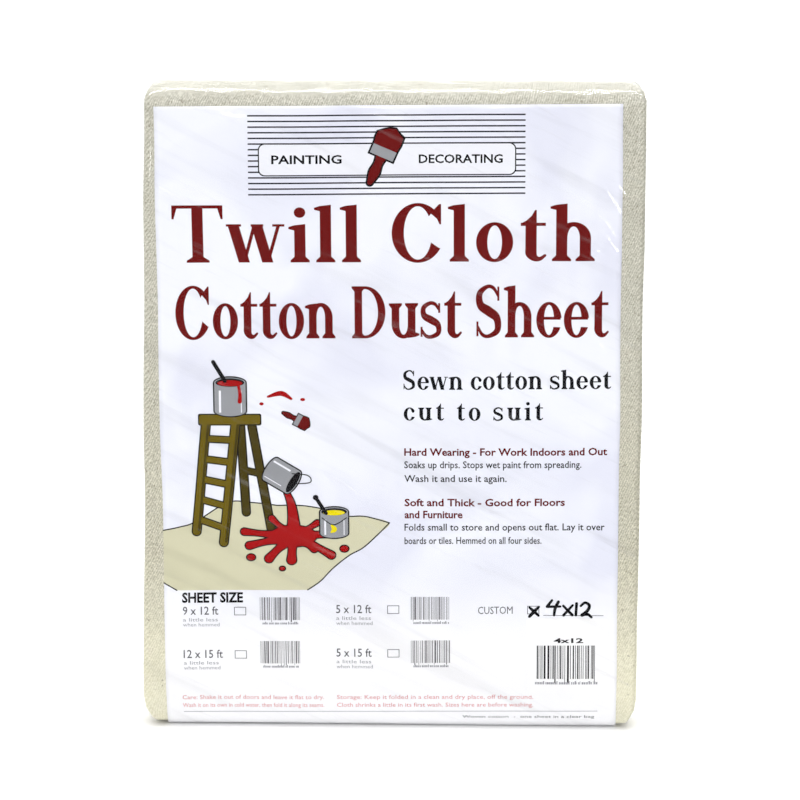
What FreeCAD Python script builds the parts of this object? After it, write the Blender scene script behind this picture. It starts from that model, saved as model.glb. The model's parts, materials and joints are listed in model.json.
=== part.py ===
"""Canvas drop cloth, folded into a block and packed in a clear film bag with a printed insert.

Frame: millimetres, +Z up. The pack stands on its bottom edge with the printed face towards -Y.
The origin is the centre of the underside, on the surface that the pack stands on.
"""
import FreeCAD, Part
import math
import os

# ---- Driving dimensions ---------------------------------------------------------------------
CLOTH_DEPTH = 32.0        # thickness of the folded cloth, front to back
CLOTH_HEIGHT = 402.5      # folded cloth, bottom to top
RIGHT_X = 153.6           # right side of the folded cloth, straight up and down
LEFT_X_TOP = -145.7       # left side at the top ...
LEFT_X_BOTTOM = -153.0    # ... and at the bottom, where the folds spread
TOP_CORNER_R = 12.0       # corner radii, seen from the front
BOTTOM_LEFT_R = 20.0
BOTTOM_RIGHT_R = 19.0
SIDE_R = 4.5              # rounding of the block's left and right edges, front and back
BOTTOM_R = 15.5           # rounding of its bottom edges; the top is one full round fold
SAG = 3.5                 # how much of the rounded bottom the pack's weight has pressed flat

PLIES_PER_STRIP = 4       # the cloth is folded twice lengthwise into a strip of four plies
LEAVES = 9                # and the strip three times three crosswise
PLY = 0.84                # one ply of 10 oz canvas as it lies in the block
HEM_WIDTH = 16.0          # turned and sewn edge of the cloth
HEM_PLY_GAP = 0.03
HEM_SEAM = 3.0            # seam to the hem's inner edge
END_HEM_X0 = -140.0       # where the strip's end hems start, clear of the block's rounded side
END_HEM_GAP = 0.2

PAPER = 0.25              # insert card
INSERT_WIDTH = 279.4      # 11 x 17 in sheet
INSERT_TOP_Z = 390.8
INSERT_UNDER_GAP = 0.05   # cloth to insert
INSERT_CENTRE_X = 0.8
INSERT_BACK_Z = 16.0      # how far the sheet's lower end comes up the back

STICKER = 50.8            # 2 in square size sticker
STICKER_X = 110.3
STICKER_Z = 46.4
STICKER_THICKNESS = 0.12
STICKER_GAP = 0.02
STICKER_CORNER_R = 2.0

FILM = 0.3                # bag film, with the slack and wrinkles that it holds
FILM_CLEARANCE = 0.6      # cloth to film: the insert and the sticker lie in it
GUSSET_Z = 18.0           # height of the bag's folded bottom
SEAM_BEAD = 0.8           # how far a welded side seam stands proud
SEAM_BEAD_WIDTH = 1.2
FLAP_LENGTH = 92.0        # the bag's mouth, folded down over the back
FLAP_INSET = 9.0          # flap edge to pack side
FLAP_CLEARANCE = 0.12
TAPE_GAP = 0.02
TAPE_WIDTH = 48.0
TAPE_LENGTH = 62.0
TAPE_THICKNESS = 0.15
TAPE_X = 72.0             # the two closing tapes, left and right of centre

STITCH_PITCH = 3.6
STITCH_LENGTH = 2.6
THREAD = 0.34
STITCH_MARGIN = 4.0       # end of the hem to its first stitch
STITCH_PROUD = 0.07       # how far a stitch stands out of the ply
STITCH_DEPTH = 0.09

# ---- Values that follow from them -----------------------------------------------------------
PITCH = CLOTH_DEPTH / LEAVES
STRIP = PLIES_PER_STRIP * PLY
BASE_Z = FILM_CLEARANCE + FILM            # underside of the cloth
TOP_Z = BASE_Z + CLOTH_HEIGHT             # top of the cloth
BACK_Y = CLOTH_DEPTH / 2
FILM_OUT = FILM_CLEARANCE + FILM
FAR = 1000.0                              # larger than the whole pack
PAST = 20.0                               # overlap where one shape runs on into another

V = FreeCAD.Vector


def leaf_y(k):
    """Depth of leaf k's middle. Leaf 0 is the one at the back."""
    return BACK_Y - PITCH * (k + 0.5)


def box(x0, x1, y0, y1, z0, z1):
    return Part.makeBox(x1 - x0, y1 - y0, z1 - z0, V(x0, y0, z0))


def rounded_outline():
    """The block's outline in the XZ plane, as if its bottom hadn't been pressed flat."""
    low = BASE_Z - SAG
    corners = [
        (LEFT_X_BOTTOM, low, BOTTOM_LEFT_R),
        (RIGHT_X, low, BOTTOM_RIGHT_R),
        (RIGHT_X, TOP_Z, TOP_CORNER_R),
        (LEFT_X_TOP, TOP_Z, TOP_CORNER_R),
    ]
    edges, ends = [], []
    count = len(corners)
    for i, (x, z, radius) in enumerate(corners):
        here = V(x, 0, z)
        before = (V(corners[i - 1][0], 0, corners[i - 1][1]) - here).normalize()
        after_corner = corners[(i + 1) % count]
        after = (V(after_corner[0], 0, after_corner[1]) - here).normalize()
        half = before.getAngle(after) / 2
        reach = radius / math.tan(half)
        start, end = here + before * reach, here + after * reach
        middle = (before + after).normalize()
        nearest = here + middle * (radius / math.sin(half) - radius)
        edges.append(Part.Arc(start, nearest, end).toShape())
        ends.append((start, end))
    for i in range(count):
        edges.append(Part.makeLine(ends[i][1], ends[(i + 1) % count][0]))
    return Part.Wire(Part.__sortEdges__(edges))


def side_profile(grow):
    """The block's outline in the YZ plane: a full round top and two rounded bottom corners."""
    half = CLOTH_DEPTH / 2 + grow
    top_centre = TOP_Z - CLOTH_DEPTH / 2
    low = BASE_Z - SAG - grow
    radius = BOTTOM_R + grow
    turn = radius * (1 - math.sqrt(0.5))
    left_foot, right_foot = V(0, radius - half, low), V(0, half - radius, low)
    left_wall, right_wall = V(0, -half, low + radius), V(0, half, low + radius)
    left_top, right_top = V(0, -half, top_centre), V(0, half, top_centre)
    edges = [
        Part.makeLine(left_wall, left_top),
        Part.Arc(left_top, V(0, 0, top_centre + half), right_top).toShape(),
        Part.makeLine(right_top, right_wall),
        Part.Arc(right_wall, V(0, half - turn, low + turn), right_foot).toShape(),
        Part.makeLine(right_foot, left_foot),
        Part.Arc(left_foot, V(0, turn - half, low + turn), left_wall).toShape(),
    ]
    return Part.Wire(edges)


def top_profile(grow):
    """The right half of the block's section in the XY plane, running on past the middle."""
    half = CLOTH_DEPTH / 2 + grow
    radius = SIDE_R + grow
    turn = radius * (1 - math.sqrt(0.5))
    low = BASE_Z - SAG
    side = RIGHT_X + grow
    edges = [
        Part.makeLine(V(-PAST, -half, low), V(side - radius, -half, low)),
        Part.Arc(V(side - radius, -half, low), V(side - turn, turn - half, low),
                 V(side, radius - half, low)).toShape(),
        Part.makeLine(V(side, radius - half, low), V(side, half - radius, low)),
        Part.Arc(V(side, half - radius, low), V(side - turn, half - turn, low),
                 V(side - radius, half, low)).toShape(),
        Part.makeLine(V(side - radius, half, low), V(-PAST, half, low)),
        Part.makeLine(V(-PAST, half, low), V(-PAST, -half, low)),
    ]
    return Part.Face(Part.Wire(edges))


def rounded_bar(grow):
    """A standing bar with rounded sides. Its left half leans as the block's left side does."""
    rise = V(0, 0, TOP_Z - BASE_Z + SAG)
    lean = V(LEFT_X_TOP - LEFT_X_BOTTOM, 0, 0)
    right = top_profile(grow)
    left = right.mirror(V(0, 0, 0), V(1, 0, 0))
    left.translate(V(LEFT_X_BOTTOM + RIGHT_X, 0, 0))
    bars = []
    for face, way in ((right, rise), (left, rise + lean)):
        unit = way * (1 / rise.z)
        start = face.copy()
        start.translate(unit * -PAST)
        bars.append(start.extrude(way + unit * (2 * PAST)))
    return bars[0].fuse(bars[1]).removeSplitter()


def block(grow):
    """The folded cloth's rounded block, grown by the same distance on every side."""
    outline = rounded_outline()
    if grow:
        outline = outline.makeOffset2D(grow)
    depth = CLOTH_DEPTH + 2 * grow
    slab = Part.Face(outline).extrude(V(0, depth, 0))
    slab.translate(V(0, -depth / 2, 0))
    bar = Part.Face(side_profile(grow)).extrude(V(2 * FAR, 0, 0))
    bar.translate(V(-FAR, 0, 0))
    whole = slab.common(bar).common(rounded_bar(grow))
    return whole.cut(box(-FAR, FAR, -FAR, FAR, -FAR, BASE_Z - grow))


def skin(inner, outer, region):
    """The layer between two grown blocks, inside a region."""
    return block(outer).cut(block(inner)).common(region)


# ---- The folded cloth -----------------------------------------------------------------------
TOP_BEND_Z = TOP_Z - CLOTH_DEPTH / 2
INNER_TOP_Z = TOP_BEND_Z - 3.0            # where the inner third ends
BACK_FOLD_SAG = 2.2                       # how far each bottom fold has settled
FRONT_FOLD_SAG = 0.9
BACK_BEND_Z = BASE_Z + 3 * PITCH - BACK_FOLD_SAG      # centre of the large fold at the bottom
FRONT_BEND_Z = BASE_Z + PITCH - FRONT_FOLD_SAG        # centre of the front third's own fold
FREE_END_Z = BASE_Z + 0.6

# Leaves in the order that the strip runs, with the z where each starts and ends.
ROUTE = [
    (5, INNER_TOP_Z, BACK_BEND_Z),
    (0, BACK_BEND_Z, TOP_BEND_Z),
    (8, TOP_BEND_Z, FRONT_BEND_Z),
    (7, FRONT_BEND_Z, TOP_BEND_Z),
    (1, TOP_BEND_Z, BACK_BEND_Z),
    (4, BACK_BEND_Z, INNER_TOP_Z),
    (3, INNER_TOP_Z, BACK_BEND_Z),
    (2, BACK_BEND_Z, TOP_BEND_Z),
    (6, TOP_BEND_Z, FREE_END_Z),
]


def strip_side(shift):
    """Edges of the strip's route, moved sideways by shift to the left of the way it runs."""
    points = []
    for k, z0, z1 in ROUTE:
        way = 1 if z1 > z0 else -1
        y = leaf_y(k) - way * shift
        points.append((V(0, y, z0), V(0, y, z1), way))
    edges = []
    for i, (start, end, way) in enumerate(points):
        edges.append(Part.makeLine(start, end))
        if i + 1 < len(points):
            following = points[i + 1][0]
            radius = abs(following.y - end.y) / 2
            middle = V(0, (end.y + following.y) / 2, end.z + way * radius)
            edges.append(Part.Arc(end, middle, following).toShape())
    return edges


def ribbon(low, high, x0, x1):
    """The strip between two sideways shifts, from x0 to x1, inside the rounded block."""
    one, other = strip_side(low), strip_side(high)
    first, last = one[0].firstVertex().Point, one[-1].lastVertex().Point
    caps = [
        Part.makeLine(first, other[0].firstVertex().Point),
        Part.makeLine(last, other[-1].lastVertex().Point),
    ]
    wire = Part.Wire(Part.__sortEdges__(one + other + caps))
    solid = Part.Face(wire).extrude(V(x1 - x0, 0, 0))
    solid.translate(V(x0, 0, 0))
    return solid


HEM_X0 = RIGHT_X - HEM_WIDTH
END_HEM_X1 = HEM_X0 - 2.0
SEAM_X = HEM_X0 + HEM_SEAM
OUTER_END = box(END_HEM_X0, END_HEM_X1, leaf_y(6) - PITCH / 2, leaf_y(6) + PITCH / 2,
                -FAR, FREE_END_Z + HEM_WIDTH)
INNER_END = box(END_HEM_X0, END_HEM_X1, leaf_y(5) - PITCH / 2, leaf_y(5) + PITCH / 2,
                INNER_TOP_Z - HEM_WIDTH, FAR)


def canvas_sheet():
    """The one long strip of four plies, with room left for its hems."""
    full = ribbon(-STRIP / 2, STRIP / 2, LEFT_X_BOTTOM - 1, HEM_X0)
    half = ribbon(0, STRIP / 2, HEM_X0, RIGHT_X + 1)
    sheet = full.fuse(half).removeSplitter().common(block(0))
    return sheet.cut(OUTER_END).cut(INNER_END)


def long_hem(number):
    """One long hem of the cloth: it follows every fold along the right side."""
    low = -STRIP / 2 + (number - 1) * PLY + HEM_PLY_GAP
    hem = ribbon(low, low + PLY - 2 * HEM_PLY_GAP, HEM_X0 + HEM_PLY_GAP, RIGHT_X + 1)
    groove = ribbon(low + PLY / 2 - THREAD / 2, low + PLY, SEAM_X - THREAD, SEAM_X + THREAD)
    return hem.common(block(0)).cut(groove)


def long_hem_thread(number):
    """The seam thread of one long hem."""
    low = -STRIP / 2 + (number - 1) * PLY + PLY / 2 - THREAD / 2
    thread = ribbon(low + HEM_PLY_GAP, low + THREAD, SEAM_X - THREAD / 2, SEAM_X + THREAD / 2)
    return thread.common(block(0))


def end_hem(leaf, z0, z1):
    """The turned end of the strip: four plies side by side in depth."""
    plies = []
    for i in range(PLIES_PER_STRIP):
        y0 = leaf_y(leaf) - STRIP / 2 + i * PLY + HEM_PLY_GAP
        plies.append(box(END_HEM_X0 + END_HEM_GAP, END_HEM_X1 - END_HEM_GAP,
                         y0, y0 + PLY - 2 * HEM_PLY_GAP, z0, z1))
    return Part.makeCompound(plies)


def stitch_row(leaf, z):
    """One row of stitches through an end hem, lying on its front ply."""
    y = leaf_y(leaf) - STRIP / 2 - STITCH_PROUD
    count = int((END_HEM_X1 - END_HEM_X0 - 2 * STITCH_MARGIN) / STITCH_PITCH)
    stitches = []
    for i in range(count):
        x = END_HEM_X0 + STITCH_MARGIN + i * STITCH_PITCH
        stitches.append(box(x, x + STITCH_LENGTH, y, y + STITCH_DEPTH, z - THREAD / 2, z + THREAD / 2))
    return Part.makeCompound(stitches)


# ---- Insert and sticker ---------------------------------------------------------------------
def insert_sheet():
    """The printed sheet: down the front, under the pack and a little way up the back."""
    x0 = INSERT_CENTRE_X - INSERT_WIDTH / 2
    x1 = INSERT_CENTRE_X + INSERT_WIDTH / 2
    front = box(x0, x1, -FAR, 0, -FAR, INSERT_TOP_Z)
    under = box(x0, x1, -1, FAR, -FAR, INSERT_BACK_Z)
    return skin(INSERT_UNDER_GAP, INSERT_UNDER_GAP + PAPER, front.fuse(under).removeSplitter())


def size_sticker():
    y = -(BACK_Y + INSERT_UNDER_GAP + PAPER + STICKER_GAP)
    half = STICKER / 2
    plate = box(STICKER_X - half, STICKER_X + half, y - STICKER_THICKNESS, y,
                STICKER_Z - half, STICKER_Z + half)
    upright = [e for e in plate.Edges if e.BoundBox.YLength > STICKER_THICKNESS / 2]
    return plate.makeFillet(STICKER_CORNER_R, upright)


# ---- The bag --------------------------------------------------------------------------------
HINGE_Z = TOP_Z - CLOTH_DEPTH / 2         # where the back leaves the rounded top
HINGE_Y = BACK_Y + FILM_OUT + FLAP_CLEARANCE + FILM / 2
SEAM_GAP = 0.02


def bag_front_film():
    """Front panel with its half of the sides, and the film that runs on over the top."""
    front = box(-FAR, FAR, -FAR, -SEAM_GAP, GUSSET_Z + SEAM_GAP, FAR)
    over = box(-FAR, FAR, -1, FAR, HINGE_Z + SEAM_GAP, FAR)
    return skin(FILM_CLEARANCE, FILM_OUT, front.fuse(over).removeSplitter())


def bag_back_film():
    """Back panel with its half of the sides, up to the bag's mouth."""
    back = box(-FAR, FAR, SEAM_GAP, FAR, GUSSET_Z + SEAM_GAP, HINGE_Z - SEAM_GAP)
    return skin(FILM_CLEARANCE, FILM_OUT, back)


def bag_bottom_film():
    """Folded bottom of the bag, which the pack stands on."""
    return skin(FILM_CLEARANCE, FILM_OUT, box(-FAR, FAR, -FAR, FAR, -FAR, GUSSET_Z - SEAM_GAP))


def bag_seam(side):
    """The welded bead where front and back film meet on one side."""
    inner = rounded_outline().makeOffset2D(FILM_OUT + SEAM_GAP)
    outer = rounded_outline().makeOffset2D(FILM_OUT + SEAM_BEAD)
    bead = Part.Face(outer).extrude(V(0, SEAM_BEAD_WIDTH, 0))
    bead = bead.cut(Part.Face(inner).extrude(V(0, SEAM_BEAD_WIDTH, 0)))
    bead.translate(V(0, -SEAM_BEAD_WIDTH / 2, 0))
    z0, z1 = GUSSET_Z + 2.0, TOP_Z - TOP_CORNER_R
    half = box(-FAR, 0, -FAR, FAR, z0, z1) if side < 0 else box(0, FAR, -FAR, FAR, z0, z1)
    return bead.common(half)


def bag_flap():
    """The loose end of the front film, which hangs down over the back and swings up to open."""
    y = HINGE_Y - FILM / 2
    return box(LEFT_X_TOP + FLAP_INSET, RIGHT_X - FLAP_INSET, y, y + FILM,
               HINGE_Z - FLAP_LENGTH, HINGE_Z)


def closure_tape(side):
    """A piece of clear tape over the flap's edge and the back film."""
    y = HINGE_Y + FILM / 2 + TAPE_GAP
    centre = (LEFT_X_TOP + RIGHT_X) / 2 + side * TAPE_X
    z = HINGE_Z - FLAP_LENGTH
    return box(centre - TAPE_WIDTH / 2, centre + TAPE_WIDTH / 2, y, y + TAPE_THICKNESS,
               z - TAPE_LENGTH / 2, z + TAPE_LENGTH / 2)


NODES = {
    "canvas_sheet": canvas_sheet(),
    "long_hem_1": long_hem(1),
    "long_hem_2": long_hem(2),
    "long_hem_thread_1": long_hem_thread(1),
    "long_hem_thread_2": long_hem_thread(2),
    "outer_end_hem": end_hem(6, FREE_END_Z, FREE_END_Z + HEM_WIDTH - END_HEM_GAP),
    "inner_end_hem": end_hem(5, INNER_TOP_Z - HEM_WIDTH + END_HEM_GAP, INNER_TOP_Z),
    "outer_hem_stitches": stitch_row(6, FREE_END_Z + HEM_WIDTH - HEM_SEAM),
    "inner_hem_stitches": stitch_row(5, INNER_TOP_Z - HEM_WIDTH + HEM_SEAM),
    "insert_sheet": insert_sheet(),
    "size_sticker": size_sticker(),
    "bag_front_film": bag_front_film(),
    "bag_back_film": bag_back_film(),
    "bag_bottom_film": bag_bottom_film(),
    "bag_seam_left": bag_seam(-1),
    "bag_seam_right": bag_seam(1),
    "bag_flap": bag_flap(),
    "closure_tape_left": closure_tape(-1),
    "closure_tape_right": closure_tape(1),
}

os.makedirs("parts", exist_ok=True)
for name, shape in NODES.items():
    print(name, "solids", len(shape.Solids), "valid", shape.isValid(), "volume", round(shape.Volume, 1))
    shape.exportStep(f"parts/{name}.step")
print("strip length", round(sum(edge.Length for edge in strip_side(0)), 1))
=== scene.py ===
"""Looks of a folded canvas drop cloth in a clear film bag, with a printed insert under the film.

Metres, +Z up, the printed face towards -Y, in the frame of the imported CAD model.
"""
import json
import math
import random

import bpy
import numpy as np
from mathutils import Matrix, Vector
from mathutils.geometry import delaunay_2d_cdt


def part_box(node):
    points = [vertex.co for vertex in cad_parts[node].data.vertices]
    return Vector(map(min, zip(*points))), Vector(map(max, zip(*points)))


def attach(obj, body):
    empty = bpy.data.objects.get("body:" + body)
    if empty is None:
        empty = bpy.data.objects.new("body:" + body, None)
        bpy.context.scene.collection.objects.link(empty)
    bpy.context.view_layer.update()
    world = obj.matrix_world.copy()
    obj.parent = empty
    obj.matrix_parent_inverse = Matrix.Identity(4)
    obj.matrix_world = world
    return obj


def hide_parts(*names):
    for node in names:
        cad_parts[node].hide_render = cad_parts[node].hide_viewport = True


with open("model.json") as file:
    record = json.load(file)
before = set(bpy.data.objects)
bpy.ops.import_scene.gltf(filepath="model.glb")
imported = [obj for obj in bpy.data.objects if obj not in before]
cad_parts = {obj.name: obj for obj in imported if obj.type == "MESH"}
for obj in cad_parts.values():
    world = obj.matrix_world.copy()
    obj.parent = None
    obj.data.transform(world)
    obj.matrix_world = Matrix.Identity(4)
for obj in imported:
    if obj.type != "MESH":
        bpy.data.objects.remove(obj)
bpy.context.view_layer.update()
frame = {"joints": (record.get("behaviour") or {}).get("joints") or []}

MM = 0.001

# ---- The block's sizes ----------------------------------------------------------------------
film_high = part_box("bag_front_film")[1]
flap_low, flap_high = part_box("bag_flap")
HINGE = next(j for j in frame["joints"] if j["name"] == "flap_fold")["pos_m"]

FILM_OUT = 0.9 * MM                       # outside of the film to the cloth
HALF = film_high.y - FILM_OUT             # half the folded cloth's thickness
TOP = film_high.z - FILM_OUT
BASE = FILM_OUT
RIGHT = film_high.x - FILM_OUT
LEFT_TOP = -145.7 * MM                    # the left side leans out from top to bottom
LEFT_BOTTOM = -153.0 * MM
TOP_CORNER = 12 * MM
BOTTOM_LEFT_CORNER = 20 * MM
BOTTOM_RIGHT_CORNER = 19 * MM
SIDE_R = 4.5 * MM                         # rounding of the upright edges, front and back
BOTTOM_R = 15.5 * MM                      # and of the lower edges
SAG = 3.5 * MM
LOW = BASE - SAG                          # lower end of the outline, had it not been pressed flat
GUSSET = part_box("bag_bottom_film")[1].z

PLIES = 4
LEAVES = 9
PITCH = 2 * HALF / LEAVES
PLY = 0.84 * MM                           # from ply to ply in a leaf
CANVAS = 0.58 * MM                        # thickness of one ply of canvas
TOP_BEND = TOP - HALF

INSERT_WIDTH = 279.4 * MM
INSERT_LENGTH = 431.8 * MM
INSERT_MIDDLE = -0.3 * MM                 # the insert's middle at its top edge
INSERT_TOP = 390.6 * MM
INSERT_TURN = math.radians(0.27)          # it sits a little crooked on the cloth
INSERT_SKEW = 0.0049                      # and it was cut a little out of square
PAPER = 0.2 * MM
PAPER_FACE = 0.24 * MM                    # printed face to the cloth
FILM_FACE = 0.5 * MM                      # film to the cloth


# ---- The block's surfaces -------------------------------------------------------------------
def sides(z, grow):
    """Left and right ends of the outline at height z."""
    z = np.asarray(z, float)
    left = LEFT_BOTTOM + (LEFT_TOP - LEFT_BOTTOM) * (z - LOW) / (TOP - LOW) - grow
    right = np.full_like(z, RIGHT + grow)
    for centre, way, left_r, right_r in (
        (TOP - TOP_CORNER, 1, TOP_CORNER, TOP_CORNER),
        (None, -1, BOTTOM_LEFT_CORNER, BOTTOM_RIGHT_CORNER),
    ):
        for radius, sign in ((left_r, 1), (right_r, -1)):
            middle = LOW + radius if centre is None else centre
            reach = radius + grow
            past = np.clip((z - middle) * way, 0, reach)
            pull = reach - np.sqrt(reach**2 - past**2)
            if sign > 0:
                left = left + pull
            else:
                right = right - pull
    return left, right


def half_depth(z, grow):
    """Half the block's thickness at height z."""
    z = np.asarray(z, float)
    half = HALF + grow
    over = np.clip(z - TOP_BEND, 0, half)
    radius = BOTTOM_R + grow
    under = np.clip(LOW + BOTTOM_R - z, 0, radius)
    return np.sqrt(half**2 - over**2) - (radius - np.sqrt(radius**2 - under**2))


def ripple(seed, longest, shortest, count=14):
    """A smooth random surface of about unit height, made of plane waves."""
    rng = random.Random(seed)
    waves = []
    for _ in range(count):
        length = shortest * (longest / shortest) ** rng.random()
        turn = rng.uniform(0, math.tau)
        waves.append((math.cos(turn) / length, math.sin(turn) / length, rng.uniform(0, math.tau),
                      (length / longest) ** 0.7))
    total = math.sqrt(sum(w[3] ** 2 for w in waves) / 2)

    def height(x, z):
        out = 0
        for kx, kz, phase, size in waves:
            out = out + size * np.sin(math.tau * (kx * x + kz * z) + phase)
        return out / total

    return height


FRONT_SWELL = ripple(3, 170 * MM, 45 * MM)
BACK_WAVES = ripple(8, 150 * MM, 40 * MM)
SIDE_SWAY = ripple(5, 160 * MM, 40 * MM)


def back_swell(x, z):
    """How far the back bulges. It dies away towards the flap's hinge."""
    return 0.6 * MM * BACK_WAVES(x, z) * np.clip((TOP_BEND - z) / (25 * MM), 0, 1)


def settle(points):
    """Bends every layer of the block the same way, so that none is dead flat or cuts another."""
    x, y, z = np.asarray(points, float).T
    swell = np.where(y < 0, 0.36 * MM * FRONT_SWELL(x, z), back_swell(x, z))
    calm = np.clip((z - BASE) / (25 * MM), 0, 1)
    y = y * (1 + calm * swell / HALF)
    sway = 0.22 * MM * SIDE_SWAY(np.sign(x) * 0.5, z) * np.clip(np.abs(x) / RIGHT, 0, 1) ** 3
    return np.stack([x + calm * sway, y, z], -1)


# ---- Mesh helpers ---------------------------------------------------------------------------
def make(name, points, faces, uv=None, smooth=True):
    """A mesh object from points in metres, with a texture map in metres if uv is given."""
    mesh = bpy.data.meshes.new(name)
    mesh.from_pydata([tuple(p) for p in points], [], [tuple(f) for f in faces])
    if uv is not None:
        layer = mesh.uv_layers.new(name="cloth")
        index = np.zeros(len(mesh.loops), int)
        mesh.loops.foreach_get("vertex_index", index)
        layer.data.foreach_set("uv", np.asarray(uv, float)[index].ravel())
    mesh.polygons.foreach_set("use_smooth", [smooth] * len(mesh.polygons))
    mesh.update()
    obj = bpy.data.objects.new(name, mesh)
    bpy.context.scene.collection.objects.link(obj)
    return obj


def grid_faces(rows, columns, flip=False):
    faces = []
    for r in range(rows - 1):
        for c in range(columns - 1):
            a = r * columns + c
            quad = (a, a + 1, a + columns + 1, a + columns)
            faces.append(quad[::-1] if flip else quad)
    return faces


def thicken(obj, thickness, offset=0.0):
    mod = obj.modifiers.new("thickness", "SOLIDIFY")
    mod.thickness = thickness
    mod.offset = offset
    mod.use_even_offset = False
    apply_all(obj)


def weld(obj):
    """Joins points that lie on one another."""
    mod = obj.modifiers.new("weld", "WELD")
    mod.merge_threshold = 0.005 * MM
    apply_all(obj)


def apply_all(obj):
    """Turns the object's modifiers into its mesh."""
    graph = bpy.context.evaluated_depsgraph_get()
    graph.update()
    done = bpy.data.meshes.new_from_object(obj.evaluated_get(graph))
    old = obj.data
    obj.modifiers.clear()
    obj.data = done
    done.name = obj.name
    bpy.data.meshes.remove(old)


def piece(obj, material, body="pack", replaces=()):
    obj.data.materials.clear()
    obj.data.materials.append(material)
    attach(obj, body)
    if replaces:
        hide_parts(*replaces)
    return obj


# ---- Materials ------------------------------------------------------------------------------
def linear(v):
    """Light from a 0-255 screen value, by the sRGB curve."""
    return v / 255 / 12.92 if v <= 10 else ((v / 255 + 0.055) / 1.055) ** 2.4


def srgb(r, g, b):
    return linear(r), linear(g), linear(b), 1


class Nodes:
    """Short calls for building one material's node tree."""

    def __init__(self, name):
        self.material = bpy.data.materials.new(name)
        self.material.use_nodes = True
        self.tree = self.material.node_tree
        self.tree.nodes.clear()
        self.out = self.tree.nodes.new("ShaderNodeOutputMaterial")

    def add(self, kind, inputs=None, **settings):
        node = self.tree.nodes.new("ShaderNode" + kind)
        for key, value in settings.items():
            setattr(node, key, value)
        for key, value in (inputs or {}).items():
            if hasattr(value, "links"):
                self.tree.links.new(value, node.inputs[key])
            else:
                node.inputs[key].default_value = value
        return node

    def math(self, operation, a, b=0.0):
        return self.add("Math", {0: a, 1: b}, operation=operation).outputs[0]

    def noise(self, vector, scale, detail=3.0, roughness=0.55):
        inputs = {"Scale": scale, "Detail": detail, "Roughness": roughness, "Vector": vector}
        return self.add("TexNoise", inputs).outputs["Fac"]

    def blend(self, factor, a, b):
        """Colour a where factor is 0, b where it is 1."""
        node = self.add("Mix", data_type="RGBA")
        for socket, value in ((node.inputs[0], factor), (node.inputs[6], a), (node.inputs[7], b)):
            if hasattr(value, "links"):
                self.tree.links.new(value, socket)
            else:
                socket.default_value = value
        return node.outputs[2]

    def ramp(self, value, low, high):
        """0 at low, 1 at high, and no further either way."""
        node = self.add("MapRange", {"Value": value, "From Min": low, "From Max": high})
        return node.outputs["Result"]

    def bump(self, height, distance, strength=1.0):
        inputs = {"Height": height, "Distance": distance, "Strength": strength}
        return self.add("Bump", inputs).outputs["Normal"]

    def surface(self, **inputs):
        named = {key.replace("_", " "): value for key, value in inputs.items()}
        shader = self.add("BsdfPrincipled", named)
        self.tree.links.new(shader.outputs[0], self.out.inputs["Surface"])
        return self.material


TWILL_PITCH = 1.38 * MM                   # from rib to rib
TWILL_ANGLE = math.radians(65)
THREAD_PITCH = 0.66 * MM
# lower and foot are painted light, lighter towards the bottom; crest is a painted highlight on the top
# fold; gap and raised are partly painted shade and light of the weave
CANVAS_TONES = {
    "upper": (214, 211, 195), "lower": (220, 213, 178), "foot": (250, 245, 208),
    "crest": (238, 237, 226), "rosy": (218, 200, 184), "cloudy": (184, 182, 162),
    "gap": (132, 130, 106), "raised": (247, 245, 234), "slub": (240, 237, 222),
    "fleck": (122, 112, 90),
}


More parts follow.
